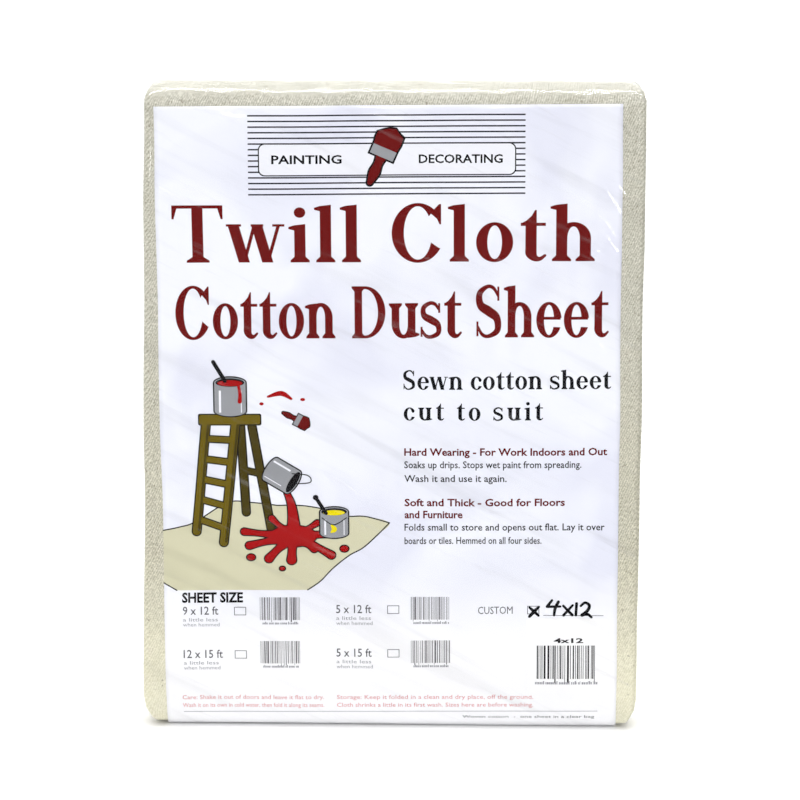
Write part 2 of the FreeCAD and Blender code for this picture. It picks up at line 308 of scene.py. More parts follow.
def canvas_material():
    """Unbleached cotton twill: slanting ribs, slubs, husk flecks, random tone, and painted light:
    lighter towards the foot, a painted highlight on the top fold.
    """
    colour = {name: srgb(*tone) for name, tone in CANVAS_TONES.items()}
    n = Nodes("canvas_twill")
    uv = n.add("UVMap", uv_map="cloth").outputs[0]
    split = n.add("SeparateXYZ", {0: uv})
    u, v = split.outputs[0], split.outputs[1]
    place = n.add("TexCoord").outputs["Object"]
    height = n.add("SeparateXYZ", {0: place}).outputs[2]

    across = n.math("MULTIPLY", u, math.sin(TWILL_ANGLE) / TWILL_PITCH)
    along = n.math("MULTIPLY", v, math.cos(TWILL_ANGLE) / TWILL_PITCH)
    phase = n.math("ADD", n.math("ADD", across, along), n.noise(place, 210.0, 2.0))
    rib = n.ramp(n.math("SINE", n.math("MULTIPLY", phase, math.tau)), -1.0, 1.0)
    thread = n.ramp(n.math("SINE", n.math("MULTIPLY", v, math.tau / THREAD_PITCH)), -1.0, 1.0)
    speckle = n.noise(place, 900.0, 2.0, 0.7)
    weave = n.math("ADD", n.math("MULTIPLY", rib, 0.2), n.math("MULTIPLY", thread, 0.05))
    weave = n.math("ADD", weave, n.math("MULTIPLY", speckle, 1.05))

    stretched = n.add("Mapping", {"Vector": uv, "Scale": (90.0, 900.0, 1.0)}).outputs[0]
    slub = n.noise(stretched, 1.0, 3.0, 0.6)
    cloud = n.noise(place, 26.0, 4.0)
    fleck = n.ramp(n.noise(place, 380.0, 1.0), 0.69, 0.75)
    rosy = n.ramp(n.noise(place, 95.0, 2.0), 0.50, 0.75)
    # Painted light at the foot of the cloth, its lowest part.
    foot = n.ramp(height, 0.125, 0.022)

    # Painted light from below: the tone grows warmer and lighter from upper to lower.
    tone = n.blend(n.ramp(height, 0.26, 0.12), colour["upper"], colour["lower"])
    tone = n.blend(foot, tone, colour["foot"])
    # Painted highlight along the top fold.
    tone = n.blend(n.ramp(height, 0.387, 0.400), tone, colour["crest"])
    tone = n.blend(n.math("MULTIPLY", rosy, 0.25), tone, colour["rosy"])
    tone = n.blend(n.math("MULTIPLY", n.ramp(cloud, 0.38, 0.66), 0.35), tone, colour["cloudy"])
    # The gap and raised colours follow mostly random speckle, and partly paint shade in the weave's
    # hollows and light on its ribs; the hollows are painted less dark at the foot.
    gap = n.blend(n.ramp(foot, 1.6, -0.1), tone, colour["gap"])
    raised = n.blend(0.5, tone, colour["raised"])
    tone = n.blend(n.ramp(weave, 0.30, 0.92), gap, raised)
    tone = n.blend(n.math("MULTIPLY", n.ramp(slub, 0.60, 0.80), 0.7), tone, colour["slub"])
    tone = n.blend(n.math("MULTIPLY", fleck, 0.5), tone, colour["fleck"])
    normal = n.bump(n.math("ADD", weave, n.math("MULTIPLY", slub, 0.5)), 0.1 * MM, 0.6)
    return n.surface(Base_Color=tone, Roughness=0.95, Specular_IOR_Level=0.1, Sheen_Weight=0.08,
                     Sheen_Roughness=0.5, Normal=normal)


def thread_material():
    n = Nodes("hem_thread")
    place = n.add("TexCoord").outputs["Object"]
    twist = n.noise(place, 2600.0, 1.0)
    tone = n.blend(twist, srgb(226, 222, 208), srgb(250, 248, 240))
    return n.surface(Base_Color=tone, Roughness=0.7, Normal=n.bump(twist, 0.05 * MM))


def paper_material():
    """Coated insert stock: a cool white with slow patches of painted shade, painted light towards the
    bottom and a faint mottled surface.
    """
    n = Nodes("insert_paper")
    place = n.add("TexCoord").outputs["Object"]
    height = n.add("SeparateXYZ", {0: place}).outputs[2]
    patches = n.add("TexNoise", {"Vector": place, "Scale": 11.0, "Detail": 2.5, "Distortion": 0.7})
    grain = n.noise(place, 900.0, 3.0)
    # Painted shade: slow bluish patches stand in for the sheet's undulations under the film.
    tone = n.blend(n.ramp(patches.outputs["Fac"], 0.40, 0.60), srgb(229, 231, 244), srgb(243, 245, 252))
    # Painted light: lighter towards the bottom.
    tone = n.blend(n.ramp(height, 0.105, 0.055), tone, srgb(252, 252, 253))
    tone = n.blend(n.math("MULTIPLY", grain, 0.08), tone, srgb(222, 222, 232))
    return n.surface(Base_Color=tone, Roughness=0.45, Specular_IOR_Level=0.15,
                     Normal=n.bump(grain, 0.01 * MM, 0.4))


def ink_material(name, r, g, b):
    """Printed ink: the colour breaks up a little where the paper's grain takes less."""
    n = Nodes(name)
    place = n.add("TexCoord").outputs["Object"]
    grain = n.noise(place, 1400.0, 2.0)
    patches = n.noise(place, 60.0, 2.0)
    lighter = srgb(*(min(255, c + 18) for c in (r, g, b)))
    tone = n.blend(n.math("MULTIPLY", n.ramp(grain, 0.60, 0.78), 0.35), srgb(r, g, b), lighter)
    tone = n.blend(n.math("MULTIPLY", patches, 0.12), tone, lighter)
    return n.surface(Base_Color=tone, Roughness=0.42, Specular_IOR_Level=0.0)


def film_material(name, haze, tint, roughness=0.085, cut_edge=False):
    """Clear polythene: sees through, shines where it creases, with long soft stretch marks that carry
    painted shade and a milky veil that is partly painted sheen.

    With cut_edge the film darkens at its cut edges, as painted shade. The map's u is the distance to
    the nearest one.
    """
    n = Nodes(name)
    place = n.add("TexCoord").outputs["Object"]
    stretched = n.add("Mapping", {"Vector": place, "Rotation": (0, math.radians(27), 0),
                                  "Scale": (0.12, 0.03, 0.010)}, vector_type="TEXTURE").outputs[0]
    marks = n.add("TexNoise", {"Vector": stretched, "Scale": 1.0, "Detail": 3.0, "Distortion": 0.5})
    marks = marks.outputs["Fac"]
    ripples = n.noise(place, 120.0, 2.0)
    height = n.math("ADD", marks, n.math("MULTIPLY", ripples, 0.35))
    height = n.math("ADD", height, n.math("MULTIPLY", n.noise(place, 560.0, 2.0), 0.10))
    combed = n.add("Mapping", {"Vector": place, "Rotation": (0, math.radians(-5), 0),
                               "Scale": (0.022, 0.003, 0.0016)}, vector_type="TEXTURE").outputs[0]
    crest = n.ramp(n.add("SeparateXYZ", {0: place}).outputs[2], 0.388, 0.396)
    streaks = n.math("MULTIPLY", n.noise(combed, 1.0, 2.0), n.math("MULTIPLY", crest, 0.6))
    normal = n.bump(n.math("ADD", height, streaks), 0.4 * MM, 0.6)
    gloss = n.add("BsdfGlossy", {"Color": (1, 1, 1, 1), "Roughness": roughness, "Normal": normal})
    # Painted shade: the see-through colour darkens along the stretch marks.
    painted_crease_shade = n.ramp(marks, 0.54, 0.72)
    through = n.blend(painted_crease_shade, tint, tuple(c * 0.94 for c in tint[:3]) + (1,))
    # Painted shade near the cut edges.
    if cut_edge:
        inwards = n.add("SeparateXYZ", {0: n.add("UVMap", uv_map="cloth").outputs[0]}).outputs[0]
        through = n.blend(n.ramp(inwards, 1.7 * MM, 0.7 * MM), through, (0.66, 0.67, 0.69, 1))
    clear = n.add("BsdfTransparent", {"Color": through})
    milk = n.add("BsdfDiffuse", {"Color": (0.93, 0.93, 0.95, 1)})
    # A milky veil on the marks: partly the film's haze, partly a painted sheen of its creases.
    haze_and_sheen = n.ramp(n.noise(stretched, 2.3, 3.0), 0.60, 0.76)
    body = n.add("MixShader", {0: n.math("MULTIPLY", haze_and_sheen, haze), 1: clear.outputs[0],
                               2: milk.outputs[0]})
    fresnel = n.add("Fresnel", {"IOR": 1.2, "Normal": normal}).outputs[0]
    outside = n.math("SUBTRACT", 1.0, n.add("NewGeometry").outputs["Backfacing"])
    shine = n.math("MULTIPLY", n.math("MINIMUM", fresnel, 0.7), outside)
    mixed = n.add("MixShader", {0: shine, 1: body.outputs[0], 2: gloss.outputs[0]})
    n.tree.links.new(mixed.outputs[0], n.out.inputs["Surface"])
    return n.material


# ---- The folded cloth -----------------------------------------------------------------------
def leaf_y(k):
    """Depth of leaf k's middle. Leaf 0 is the one at the back."""
    return HALF - PITCH * (k + 0.5)


INNER_TOP = TOP_BEND - 3 * MM
BACK_BEND = BASE + 3 * PITCH - 2.2 * MM
FRONT_BEND = BASE + PITCH - 0.9 * MM
FREE_END = BASE + 0.6 * MM
ROUTE = [
    (5, INNER_TOP, BACK_BEND),
    (0, BACK_BEND, TOP_BEND),
    (8, TOP_BEND, FRONT_BEND),
    (7, FRONT_BEND, TOP_BEND),
    (1, TOP_BEND, BACK_BEND),
    (4, BACK_BEND, INNER_TOP),
    (3, INNER_TOP, BACK_BEND),
    (2, BACK_BEND, TOP_BEND),
    (6, TOP_BEND, FREE_END),
]                                         # leaf, and the heights that the strip runs from and to
OUTERMOST = HALF - PITCH / 2 + 1.5 * PLY + CANVAS / 2
SNUG = (HALF - 0.03 * MM) / OUTERMOST     # spreads the leaves until the block is full


def strip_line():
    """The folded strip's middle line: (y, z), the direction to its left, and the length so far."""
    points, normals = [], []
    for i, (k, z0, z1) in enumerate(ROUTE):
        way = 1 if z1 > z0 else -1
        for t in np.linspace(0, 1, 52):
            points.append((leaf_y(k), z0 + (z1 - z0) * t))
            normals.append((-way, 0.0))
        if i + 1 == len(ROUTE):
            break
        there = leaf_y(ROUTE[i + 1][0])
        middle, radius = (leaf_y(k) + there) / 2, (there - leaf_y(k)) / 2
        for t in np.linspace(0, math.pi, 18)[1:-1]:
            points.append((middle - radius * math.cos(t), z1 + way * abs(radius) * math.sin(t)))
            side = 1 if radius > 0 else -1
            normals.append((-way * math.cos(t), side * math.sin(t)))
    points, normals = np.array(points), np.array(normals)
    steps = np.hypot(*np.diff(points, axis=0).T)
    return points, normals, np.concatenate([[0], np.cumsum(steps)])


LINE, LINE_LEFT, LINE_LENGTH = strip_line()


def cross_fold():
    """The cloth's width, folded in four: (share of the way across, side shift, bulge, length so far).

    It starts and ends at the two long hems, which lie on the right of the strip's inner plies.
    """
    width = RIGHT - LEFT_BOTTOM
    rows = []

    def ply(shift, to_left):
        for t in np.linspace(0, 1, 26):
            rows.append((1 - t if to_left else t, shift, 0.0))

    def bend(at, start, end, columns):
        out = -1 if at == 0 else 1
        middle, radius = (start + end) / 2, abs(end - start) / 2
        for t in np.linspace(0, math.pi, columns)[1:-1]:
            rows.append((at, middle + (start - end) / 2 * math.cos(t), out * radius * math.sin(t)))

    s = [(i - 1.5) * PLY for i in range(PLIES)]
    ply(s[3], True)
    bend(0, s[3], s[0], 11)
    ply(s[0], False)
    bend(1, s[0], s[1], 7)
    ply(s[1], True)
    bend(0, s[1], s[2], 7)
    ply(s[2], False)
    rows = np.array(rows)
    steps = np.hypot(np.diff(rows[:, 0]) * width + np.diff(rows[:, 2]), np.diff(rows[:, 1]))
    return rows, np.concatenate([[0], np.cumsum(steps)])


CROSS, CROSS_LENGTH = cross_fold()
EDGE_OUT = ripple(21, 400 * MM, 90 * MM)


def cloth_points(rows, line, left_of, length):
    """Places the cloth's grid in the block: one row of points for each station along the strip."""
    share, shift, bulge = (rows[:, i][None, :] for i in range(3))
    y = (line[:, 0][:, None] + left_of[:, 0][:, None] * shift) * SNUG
    z = line[:, 1][:, None] + left_of[:, 1][:, None] * shift
    lowest = BACK_BEND - 2.5 * PITCH - 2 * PLY
    soft = BASE + 9 * MM
    squeezed = BASE + CANVAS / 2 + (soft - BASE - CANVAS / 2) * (z - lowest) / (soft - lowest)
    z = np.where(z < soft, squeezed, z)
    y = y * np.where(z < LOW + BOTTOM_R, half_depth(z, 0) / HALF, 1)
    left, right = sides(z, 0.25 * MM)
    depth = half_depth(z, 0)
    radius = np.minimum(SIDE_R, depth)
    past = np.clip(np.abs(y) - (depth - radius), 0, radius)
    inset = radius - np.sqrt(radius**2 - past**2)
    loose = np.abs(EDGE_OUT(length[:, None] * np.ones_like(y), y * 40))
    left = left + inset + 1.5 * PLY + CANVAS / 2 + 0.12 * MM * loose
    right = right - inset - PLY / 2 - CANVAS / 2 - 0.25 * MM * loose
    x = left + (right - left) * share + bulge
    return settle(np.stack([x.ravel(), y.ravel(), z.ravel()], -1))


def cloth_patch(name, columns, stations, thickness):
    """The part of the cloth between two columns and two stations of its grid, as a thick sheet."""
    rows, line = CROSS[columns], LINE[stations]
    points = cloth_points(rows, line, LINE_LEFT[stations], LINE_LENGTH[stations])
    u = np.tile(CROSS_LENGTH[columns], len(line))
    v = np.repeat(LINE_LENGTH[stations], len(rows))
    obj = make(name, points, grid_faces(len(line), len(rows)), np.stack([u, v], -1))
    thicken(obj, thickness)
    return obj


HEM_COLUMNS = 2                           # columns of the grid in a long hem
END_STATIONS = 3                          # stations of the grid in an end hem
HEM = 0.78 * MM                           # thickness of a hem
STITCH_PITCH = 3.6 * MM
STITCH_LENGTH = 2.6 * MM
STITCH_HALF = 0.21 * MM                   # half a stitch's width


def stitches(name, points):
    """A row of thread dashes along a line of points, each a small four-sided spindle."""
    steps = np.concatenate([[0], np.cumsum(np.linalg.norm(np.diff(points, axis=0), axis=1))])

    def at(distance):
        return np.array([np.interp(distance, steps, points[:, i]) for i in range(3)])

    verts, faces = [], []
    for start in np.arange(0, steps[-1] - STITCH_LENGTH, STITCH_PITCH):
        a, b = at(start), at(start + STITCH_LENGTH)
        way = (b - a) / (np.linalg.norm(b - a) + 1e-9)
        side = np.cross(way, (0.0, 0.3, 1.0))
        side /= np.linalg.norm(side) + 1e-9
        up = np.cross(side, way)
        n = len(verts)
        verts += [a, b]
        for where in (0.2, 0.8):
            centre = a + (b - a) * where
            verts += [centre + side * STITCH_HALF, centre + up * STITCH_HALF,
                      centre - side * STITCH_HALF, centre - up * STITCH_HALF]
        for i in range(4):
            j = (i + 1) % 4
            faces += [(n, n + 2 + j, n + 2 + i), (n + 2 + i, n + 2 + j, n + 6 + j, n + 6 + i),
                      (n + 1, n + 6 + i, n + 6 + j)]
    return make(name, verts, faces)


def build_cloth(canvas, thread):
    """The body of the cloth, its four hems and their threads."""
    last_column, last_station = len(CROSS) - 1, len(LINE) - 1
    every = slice(0, last_station + 1)
    inner = slice(HEM_COLUMNS, last_column - HEM_COLUMNS + 1)
    between = slice(END_STATIONS, last_station - END_STATIONS + 1)
    first, last = slice(0, HEM_COLUMNS + 1), slice(last_column - HEM_COLUMNS, last_column + 1)
    start, end = slice(0, END_STATIONS + 1), slice(last_station - END_STATIONS, last_station + 1)
    body = piece(cloth_patch("canvas_cloth", inner, between, CANVAS), canvas,
                 replaces=["canvas_sheet"])
    for name, columns, stations, node in (
        ("hem_right_outer", first, every, "long_hem_1"),
        ("hem_right_inner", last, every, "long_hem_2"),
        ("hem_inner_end", inner, start, "inner_end_hem"),
        ("hem_free_end", inner, end, "outer_end_hem"),
    ):
        hem = cloth_patch(name, columns, stations, HEM)
        piece(hem, canvas, replaces=[node])
    for name, column, node in (
        ("hem_thread_outer", HEM_COLUMNS - 0.25, "long_hem_thread_1"),
        ("hem_thread_inner", last_column - HEM_COLUMNS + 0.25, "long_hem_thread_2"),
    ):
        row = np.array([[np.interp(column, np.arange(len(CROSS)), CROSS[:, i]) for i in range(3)]])
        row[0, 1] -= CANVAS / 2
        line = cloth_points(row, LINE, LINE_LEFT, LINE_LENGTH)
        piece(stitches(name, line), thread, replaces=[node])
    for name, station, node in (
        ("end_thread_inner", END_STATIONS - 1, "inner_hem_stitches"),
        ("end_thread_free", last_station - END_STATIONS + 1, "outer_hem_stitches"),
    ):
        here = slice(station, station + 1)
        rows = CROSS[inner].copy()
        rows[:, 1] += CANVAS / 2
        line = cloth_points(rows, LINE[here], LINE_LEFT[here], LINE_LENGTH[here])
        piece(stitches(name, line), thread, replaces=[node])


# ---- The insert's surface -------------------------------------------------------------------
ARC = 40                                  # points on each rounded part of the section


def way_round(grow):
    """The block's section as a line of (y, z): down the front, under it and up the back."""
    half, radius = HALF + grow, BOTTOM_R + grow
    points = [(-half * math.sin(a), TOP_BEND + half * math.cos(a))
              for a in np.linspace(0, math.pi / 2, ARC)]
    turn = math.asin((BOTTOM_R - SAG + grow) / radius)
    foot = [(half - radius + radius * math.cos(a), LOW + BOTTOM_R - radius * math.sin(a))
            for a in np.linspace(0, turn, ARC)]
    points += [(-y, z) for y, z in foot]
    points += foot[::-1]
    points.append((half, TOP_BEND))
    points = np.array(points)
    steps = np.hypot(*np.diff(points, axis=0).T)
    return points, np.concatenate([[0], np.cumsum(steps)])


ROUND, ROUND_LENGTH = way_round(PAPER_FACE)
SHEET_START = float(np.interp(-INSERT_TOP, -ROUND[:ARC, 1], ROUND_LENGTH[:ARC]))
SHEET_MARGIN = 1.2 * MM                   # least distance from the sheet's sides to the block's


def on_sheet(u, v, lift=0.0):
    """Point of the insert's printed face, u from its left edge and v down from its top edge."""
    u, v = np.asarray(u, float) - INSERT_WIDTH / 2, np.asarray(v, float)
    at = SHEET_START + v * math.cos(INSERT_TURN) - u * (math.sin(INSERT_TURN) + INSERT_SKEW)

    def section(distance):
        return [np.interp(distance, ROUND_LENGTH, ROUND[:, i]) for i in (0, 1)]

    y, z = section(at)
    d = 0.2 * MM
    dy, dz = (ahead - behind for ahead, behind in zip(section(at + d), section(at - d)))
    size = np.hypot(dy, dz)
    left, right = sides(np.maximum(z, BASE), PAPER_FACE)
    x = INSERT_MIDDLE + u * math.cos(INSERT_TURN) + v * math.sin(INSERT_TURN)
    x = np.clip(x, left + SHEET_MARGIN, right - SHEET_MARGIN)
    return settle(np.stack([x, y + lift * dz / size, z - lift * dy / size], -1))


def build_insert(paper):
    columns, rows = 95, 165
    u, v = np.meshgrid(np.linspace(0, INSERT_WIDTH, columns), np.linspace(0, INSERT_LENGTH, rows))
    obj = make("insert_paper", on_sheet(u.ravel(), v.ravel()), grid_faces(rows, columns, flip=True))
    thicken(obj, PAPER, offset=-1.0)
    return piece(obj, paper, replaces=["insert_sheet"])


# ---- Flat shapes for printing ---------------------------------------------------------------
# A shape is (outline, [holes]), each a list of (u, v) in millimetres on the sheet.
def ring_points(cx, cy, rx, ry, start=0.0, end=360.0, count=40):
    angles = np.radians(np.linspace(start, end, count, endpoint=end - start < 360))
    return [(cx + rx * math.cos(a), cy + ry * math.sin(a)) for a in angles]


def block_shape(x0, y0, x1, y1):
    return ([(x0, y0), (x1, y0), (x1, y1), (x0, y1)], [])


def rounded(x0, y0, x1, y1, r):
    """A block with rounded corners."""
    left, right, low, high = x0 + r, x1 - r, y0 + r, y1 - r
    points = []
    for cx, cy, start in ((right, high, 0), (left, high, 90), (left, low, 180), (right, low, 270)):
        points += ring_points(cx, cy, r, r, start, start + 90, 7)
    return (points, [])


def smooth_line(points, count=9):
    """A Catmull-Rom line through the points. Each point may carry a width after x and y."""
    p = [points[0], *points, points[-1]]
    out = []
    for i in range(1, len(p) - 2):
        a, b, c, d = (np.array(p[i + k], float) for k in (-1, 0, 1, 2))
        for t in np.linspace(0, 1, count, endpoint=False):
            out.append(0.5 * (2 * b + (c - a) * t + (2 * a - 5 * b + 4 * c - d) * t**2
                              + (3 * b - a - 3 * c + d) * t**3))
    out.append(np.array(p[-2], float))
    return np.array(out)


def brush(points, width=None, smooth=True):
    """A stroke along the points, as wide as width or as each point's third number."""
    if width is not None:
        points = [(x, y, width) for x, y in points]
    line = smooth_line(points) if smooth else np.array(points, float)
    way = np.gradient(line[:, :2], axis=0)
    way /= np.linalg.norm(way, axis=1)[:, None] + 1e-9
    across = np.stack([-way[:, 1], way[:, 0]], -1) * line[:, 2:3] / 2
    left, right = line[:, :2] + across, line[:, :2] - across
    caps = []
    for end, direction in ((line[-1], way[-1]), (line[0], -way[0])):
        centre, size = end[:2], end[2]
        turn = math.degrees(math.atan2(direction[1], direction[0]))
        caps.append(ring_points(*centre, size / 2, size / 2, turn + 70, turn - 70, 6))
    return ([tuple(q) for q in left] + caps[0] + [tuple(q) for q in right[::-1]] + caps[1], [])


def placed(shapes, du=0.0, dv=0.0, su=1.0, sv=1.0, turn=0.0):
    """The shapes scaled, turned by degrees and moved."""
    c, s = math.cos(math.radians(turn)), math.sin(math.radians(turn))

    def move(outline):
        return [(du + su * x * c - sv * y * s, dv + su * x * s + sv * y * c) for x, y in outline]

    return [(move(outline), [move(h) for h in holes]) for outline, holes in shapes]


# The print is laid out on a slightly longer sheet, and moved up a little.
LAYOUT_SHRINK = 0.9875
LAYOUT_RISE = 0.2 * MM


def on_print(u, v, lift=0.0):
    """Point of the printed face, from a place in the layout."""
    return on_sheet(u, np.asarray(v) * LAYOUT_SHRINK - LAYOUT_RISE, lift)


CUT_EVERY = 3.0                           # size of the faces that print is cut into
INK_LIFT = 0.04                           # plain print above the sheet, all in millimetres


def print_ink(name, shapes, material, lift=INK_LIFT, slot="insert"):
    """One colour of print: the union of the shapes, cut into small faces that follow the sheet."""
    points, faces, owners = [], [], []
    for number, (outline, holes) in enumerate(shapes):
        for k, loop in enumerate([outline, *holes]):
            loop = np.array(loop)
            x, y = loop.T
            if np.dot(x, np.roll(y, -1)) - np.dot(y, np.roll(x, -1)) < 0:
                loop = loop[::-1]
            faces.append(list(range(len(points), len(points) + len(loop))))
            points += [Vector(q) for q in loop]
            owners.append((number, k == 0))
    low, high = np.min(points, axis=0), np.max(points, axis=0)
    edges = []
    for axis in (0, 1):
        first = math.ceil(low[axis] / CUT_EVERY) * CUT_EVERY
        for at in np.arange(first, high[axis], CUT_EVERY):
            ends = [[0, 0], [0, 0]]
            for e, other in zip(ends, (low[1 - axis] - 1, high[1 - axis] + 1)):
                e[axis], e[1 - axis] = at + 0.0137, other
            edges.append((len(points), len(points) + 1))
            points += [Vector(e) for e in ends]
    verts, _, tris, _, _, origins = delaunay_2d_cdt(points, edges, faces, 1, 1e-4)
    kept = []
    for tri, origin in zip(tris, origins):
        inside = {owners[f][0] for f in origin if owners[f][1]}
        holed = {owners[f][0] for f in origin if not owners[f][1]}
        if inside - holed:
            kept.append(tri)
    used = sorted({i for tri in kept for i in tri})
    number = {old: new for new, old in enumerate(used)}
    flat = np.array([verts[i] for i in used]) * MM
    obj = make(name, on_print(flat[:, 0], flat[:, 1], lift * MM),
               [tuple(number[i] for i in tri)[::-1] for tri in kept])
    return piece(obj, material)


# ---- Letters --------------------------------------------------------------------------------
# Drawn y up, with the capitals 1 high and the small letters X_HEIGHT high.
X_HEIGHT = 0.67
STEM = 0.175
THIN = 0.055
N_LEFT, N_RIGHT = 0.17, 0.54              # the stems of n, h and u


def foot(x, y, way, width=0.30):
    """A bracketed serif at the end of a stem."""
    w, s = width / 2, STEM / 2
    return ([(x - w, y), (x + w, y), (x + w, y + 0.035 * way), (x + s, y + 0.10 * way),
             (x - s, y + 0.10 * way), (x - w, y + 0.035 * way)], [])


def flag(x, y):
    """The slanted serif at the top left of a small letter's stem."""
    s = STEM / 2
    return ([(x + s, y), (x - s, y - 0.02), (x - s - 0.09, y - 0.05), (x - s - 0.09, y - 0.085),
             (x - s, y - 0.11), (x + s, y - 0.11)], [])


def stem(x, y0, y1):
    return block_shape(x - STEM / 2, y0, x + STEM / 2, y1)


def bowl(cx, cy, rx, ry, tx=STEM, ty=THIN, cut=()):
    holes = [ring_points(cx, cy, rx - tx, ry - ty)]
    if cut:
        holes.append(list(cut))
    return (ring_points(cx, cy, rx, ry, count=56), holes)


def slant(x0, x1, width):
    """A leaning stroke from x0 on the baseline to x1 at the top of the small letters."""
    w = width / 2
    return ([(x0 - w, 0), (x0 + w, 0), (x1 + w, X_HEIGHT), (x1 - w, X_HEIGHT)], [])


def level(x0, x1, y, thick):
    """A level bar that hangs from y."""
    return block_shape(x0, y - thick, x1, y)


def arch():
    """The round shoulder of n and h."""
    base = 0.40
    below = [(-1, -1), (2, -1), (2, base), (-1, base)]
    middle, reach = (N_LEFT + N_RIGHT) / 2, (N_RIGHT - N_LEFT + STEM) / 2
    return bowl(middle, base, reach, X_HEIGHT + 0.01 - base, STEM, 0.075, below)


def s_stroke(h, w, thick):
    line = [(0.86, 0.80, 0.05), (0.70, 0.94, 0.07), (0.46, 0.97, 0.075), (0.17, 0.84, thick * 0.8),
            (0.20, 0.62, thick), (0.52, 0.50, thick * 1.15), (0.82, 0.37, thick),
            (0.84, 0.14, thick * 0.8), (0.52, 0.03, 0.075), (0.27, 0.06, 0.07), (0.10, 0.21, 0.05)]
    return [brush([(x * w, y * h, t) for x, y, t in line]),
            block_shape(0.84 * w, 0.70 * h, 0.84 * w + 0.045, 0.97 * h),
            block_shape(0.12 * w - 0.045, 0.03 * h, 0.12 * w, 0.31 * h)]


def n_shapes():
    return [stem(N_LEFT, 0, X_HEIGHT - 0.03), flag(N_LEFT, X_HEIGHT), foot(N_LEFT, 0, 1),
            stem(N_RIGHT, 0, 0.41), foot(N_RIGHT, 0, 1), arch()]


def round_letter(cut, extra=()):
    return [bowl(0.32, X_HEIGHT / 2, 0.29, X_HEIGHT / 2 + 0.012, cut=cut), *extra]


def serif_letters():
    """Letter to (shapes, advance)."""
    wide = 1.4
    return {
        "o": (round_letter(()), 0.64),
        "e": (round_letter([(0.33, 0.375), (wide, 0.375), (wide, 0.16), (0.42, 0.20)],
                           [block_shape(0.12, 0.34, 0.585, 0.34 + THIN)]), 0.63),
        "c": (round_letter([(0.36, 0.47), (wide, 0.60), (wide, 0.10), (0.42, 0.20)],
                           [(ring_points(0.49, 0.48, 0.072, 0.075), [])]), 0.58),
        "n": (n_shapes(), 0.71),
        "h": ([stem(N_LEFT, 0, 0.97), flag(N_LEFT, 1.0), foot(N_LEFT, 0, 1), stem(N_RIGHT, 0, 0.41),
               foot(N_RIGHT, 0, 1), arch()], 0.71),
        "u": (placed(n_shapes(), 0.71, X_HEIGHT, -1, -1), 0.73),
        "i": ([stem(0.17, 0, X_HEIGHT - 0.03), flag(0.17, X_HEIGHT), foot(0.17, 0, 1),
               (ring_points(0.17, 0.87, 0.09, 0.09), [])], 0.345),
        "l": ([stem(0.17, 0, 0.97), flag(0.17, 1.0), foot(0.17, 0, 1)], 0.345),
        "t": ([stem(0.19, 0.14, X_HEIGHT),
               ([(0.02, X_HEIGHT - 0.02), (0.2775, X_HEIGHT - 0.02), (0.2775, 0.89), (0.25, 0.89),
                 (0.20, 0.79), (0.12, 0.71)], []),
               level(0.03, 0.42, X_HEIGHT, THIN),
               brush([(0.19, 0.22, STEM), (0.195, 0.13, STEM), (0.25, 0.055, 0.12), (0.33, 0.04, 0.07),
                      (0.41, 0.10, 0.045)])], 0.44),
        "w": ([slant(0.25, 0.08, STEM), slant(0.25, 0.42, THIN),
               slant(0.62, 0.45, STEM), slant(0.62, 0.80, THIN),
               level(-0.03, 0.21, X_HEIGHT, 0.04), level(0.36, 0.56, X_HEIGHT, 0.04),
               level(0.70, 0.89, X_HEIGHT, 0.04)], 0.90),
        "s": (s_stroke(X_HEIGHT + 0.015, 0.50, 0.13), 0.53),
        "S": (s_stroke(1.01, 0.60, 0.165), 0.66),
        "T": ([stem(0.42, 0, 1), foot(0.42, 0, 1, 0.36), level(0.02, 0.82, 1, THIN),
               ([(0.02, 1), (0.10, 1 - THIN), (0.05, 0.76), (0.02, 0.76)], []),
               ([(0.82, 1), (0.74, 1 - THIN), (0.79, 0.76), (0.82, 0.76)], [])], 0.84),
        "D": ([stem(0.21, 0, 1), foot(0.21, 0, 1), foot(0.21, 1, -1),
               level(0.1, 0.38, THIN, THIN), level(0.1, 0.38, 1, THIN),
               bowl(0.37, 0.5, 0.46, 0.5, 0.17, THIN,
                    [(-1, -1), (0.37, -1), (0.37, 2), (-1, 2)])], 0.89),
        "C": ([bowl(0.45, 0.5, 0.41, 0.52, 0.19, THIN,
                    [(0.44, 0.5), (0.655, 0.835), (0.70, 0.88), (0.70, 1.1), (wide, 1.1), (wide, 0.14),
                     (0.78, 0.24)]),
               ([(0.60, 0.95), (0.70, 0.905), (0.785, 1.0), (0.815, 1.0), (0.815, 0.65), (0.79, 0.65),
                 (0.75, 0.745), (0.65, 0.84)], [])], 0.87),
    }


SERIF = serif_letters()
WORD_GAP = 0.30                           # width of a space


def serif_text(text, u, v, cap, width, stretch=1.0):
    """The text in serif letters on the baseline v, from u, spaced or squeezed to the given width."""
    natural = sum(WORD_GAP if letter == " " else SERIF[letter][1] for letter in text) * cap * stretch
    if natural > width:
        stretch *= width / natural
        natural = width
    gap = (width - natural) / (len(text) - 1) / (cap * stretch)
    shapes, at = [], 0.0
    for letter in text:
        if letter == " ":
            at += WORD_GAP + gap
            continue
        glyph, advance = SERIF[letter]
        shapes += placed(glyph, at)
        at += advance + gap
    return placed(shapes, u, v, cap * stretch, -cap)


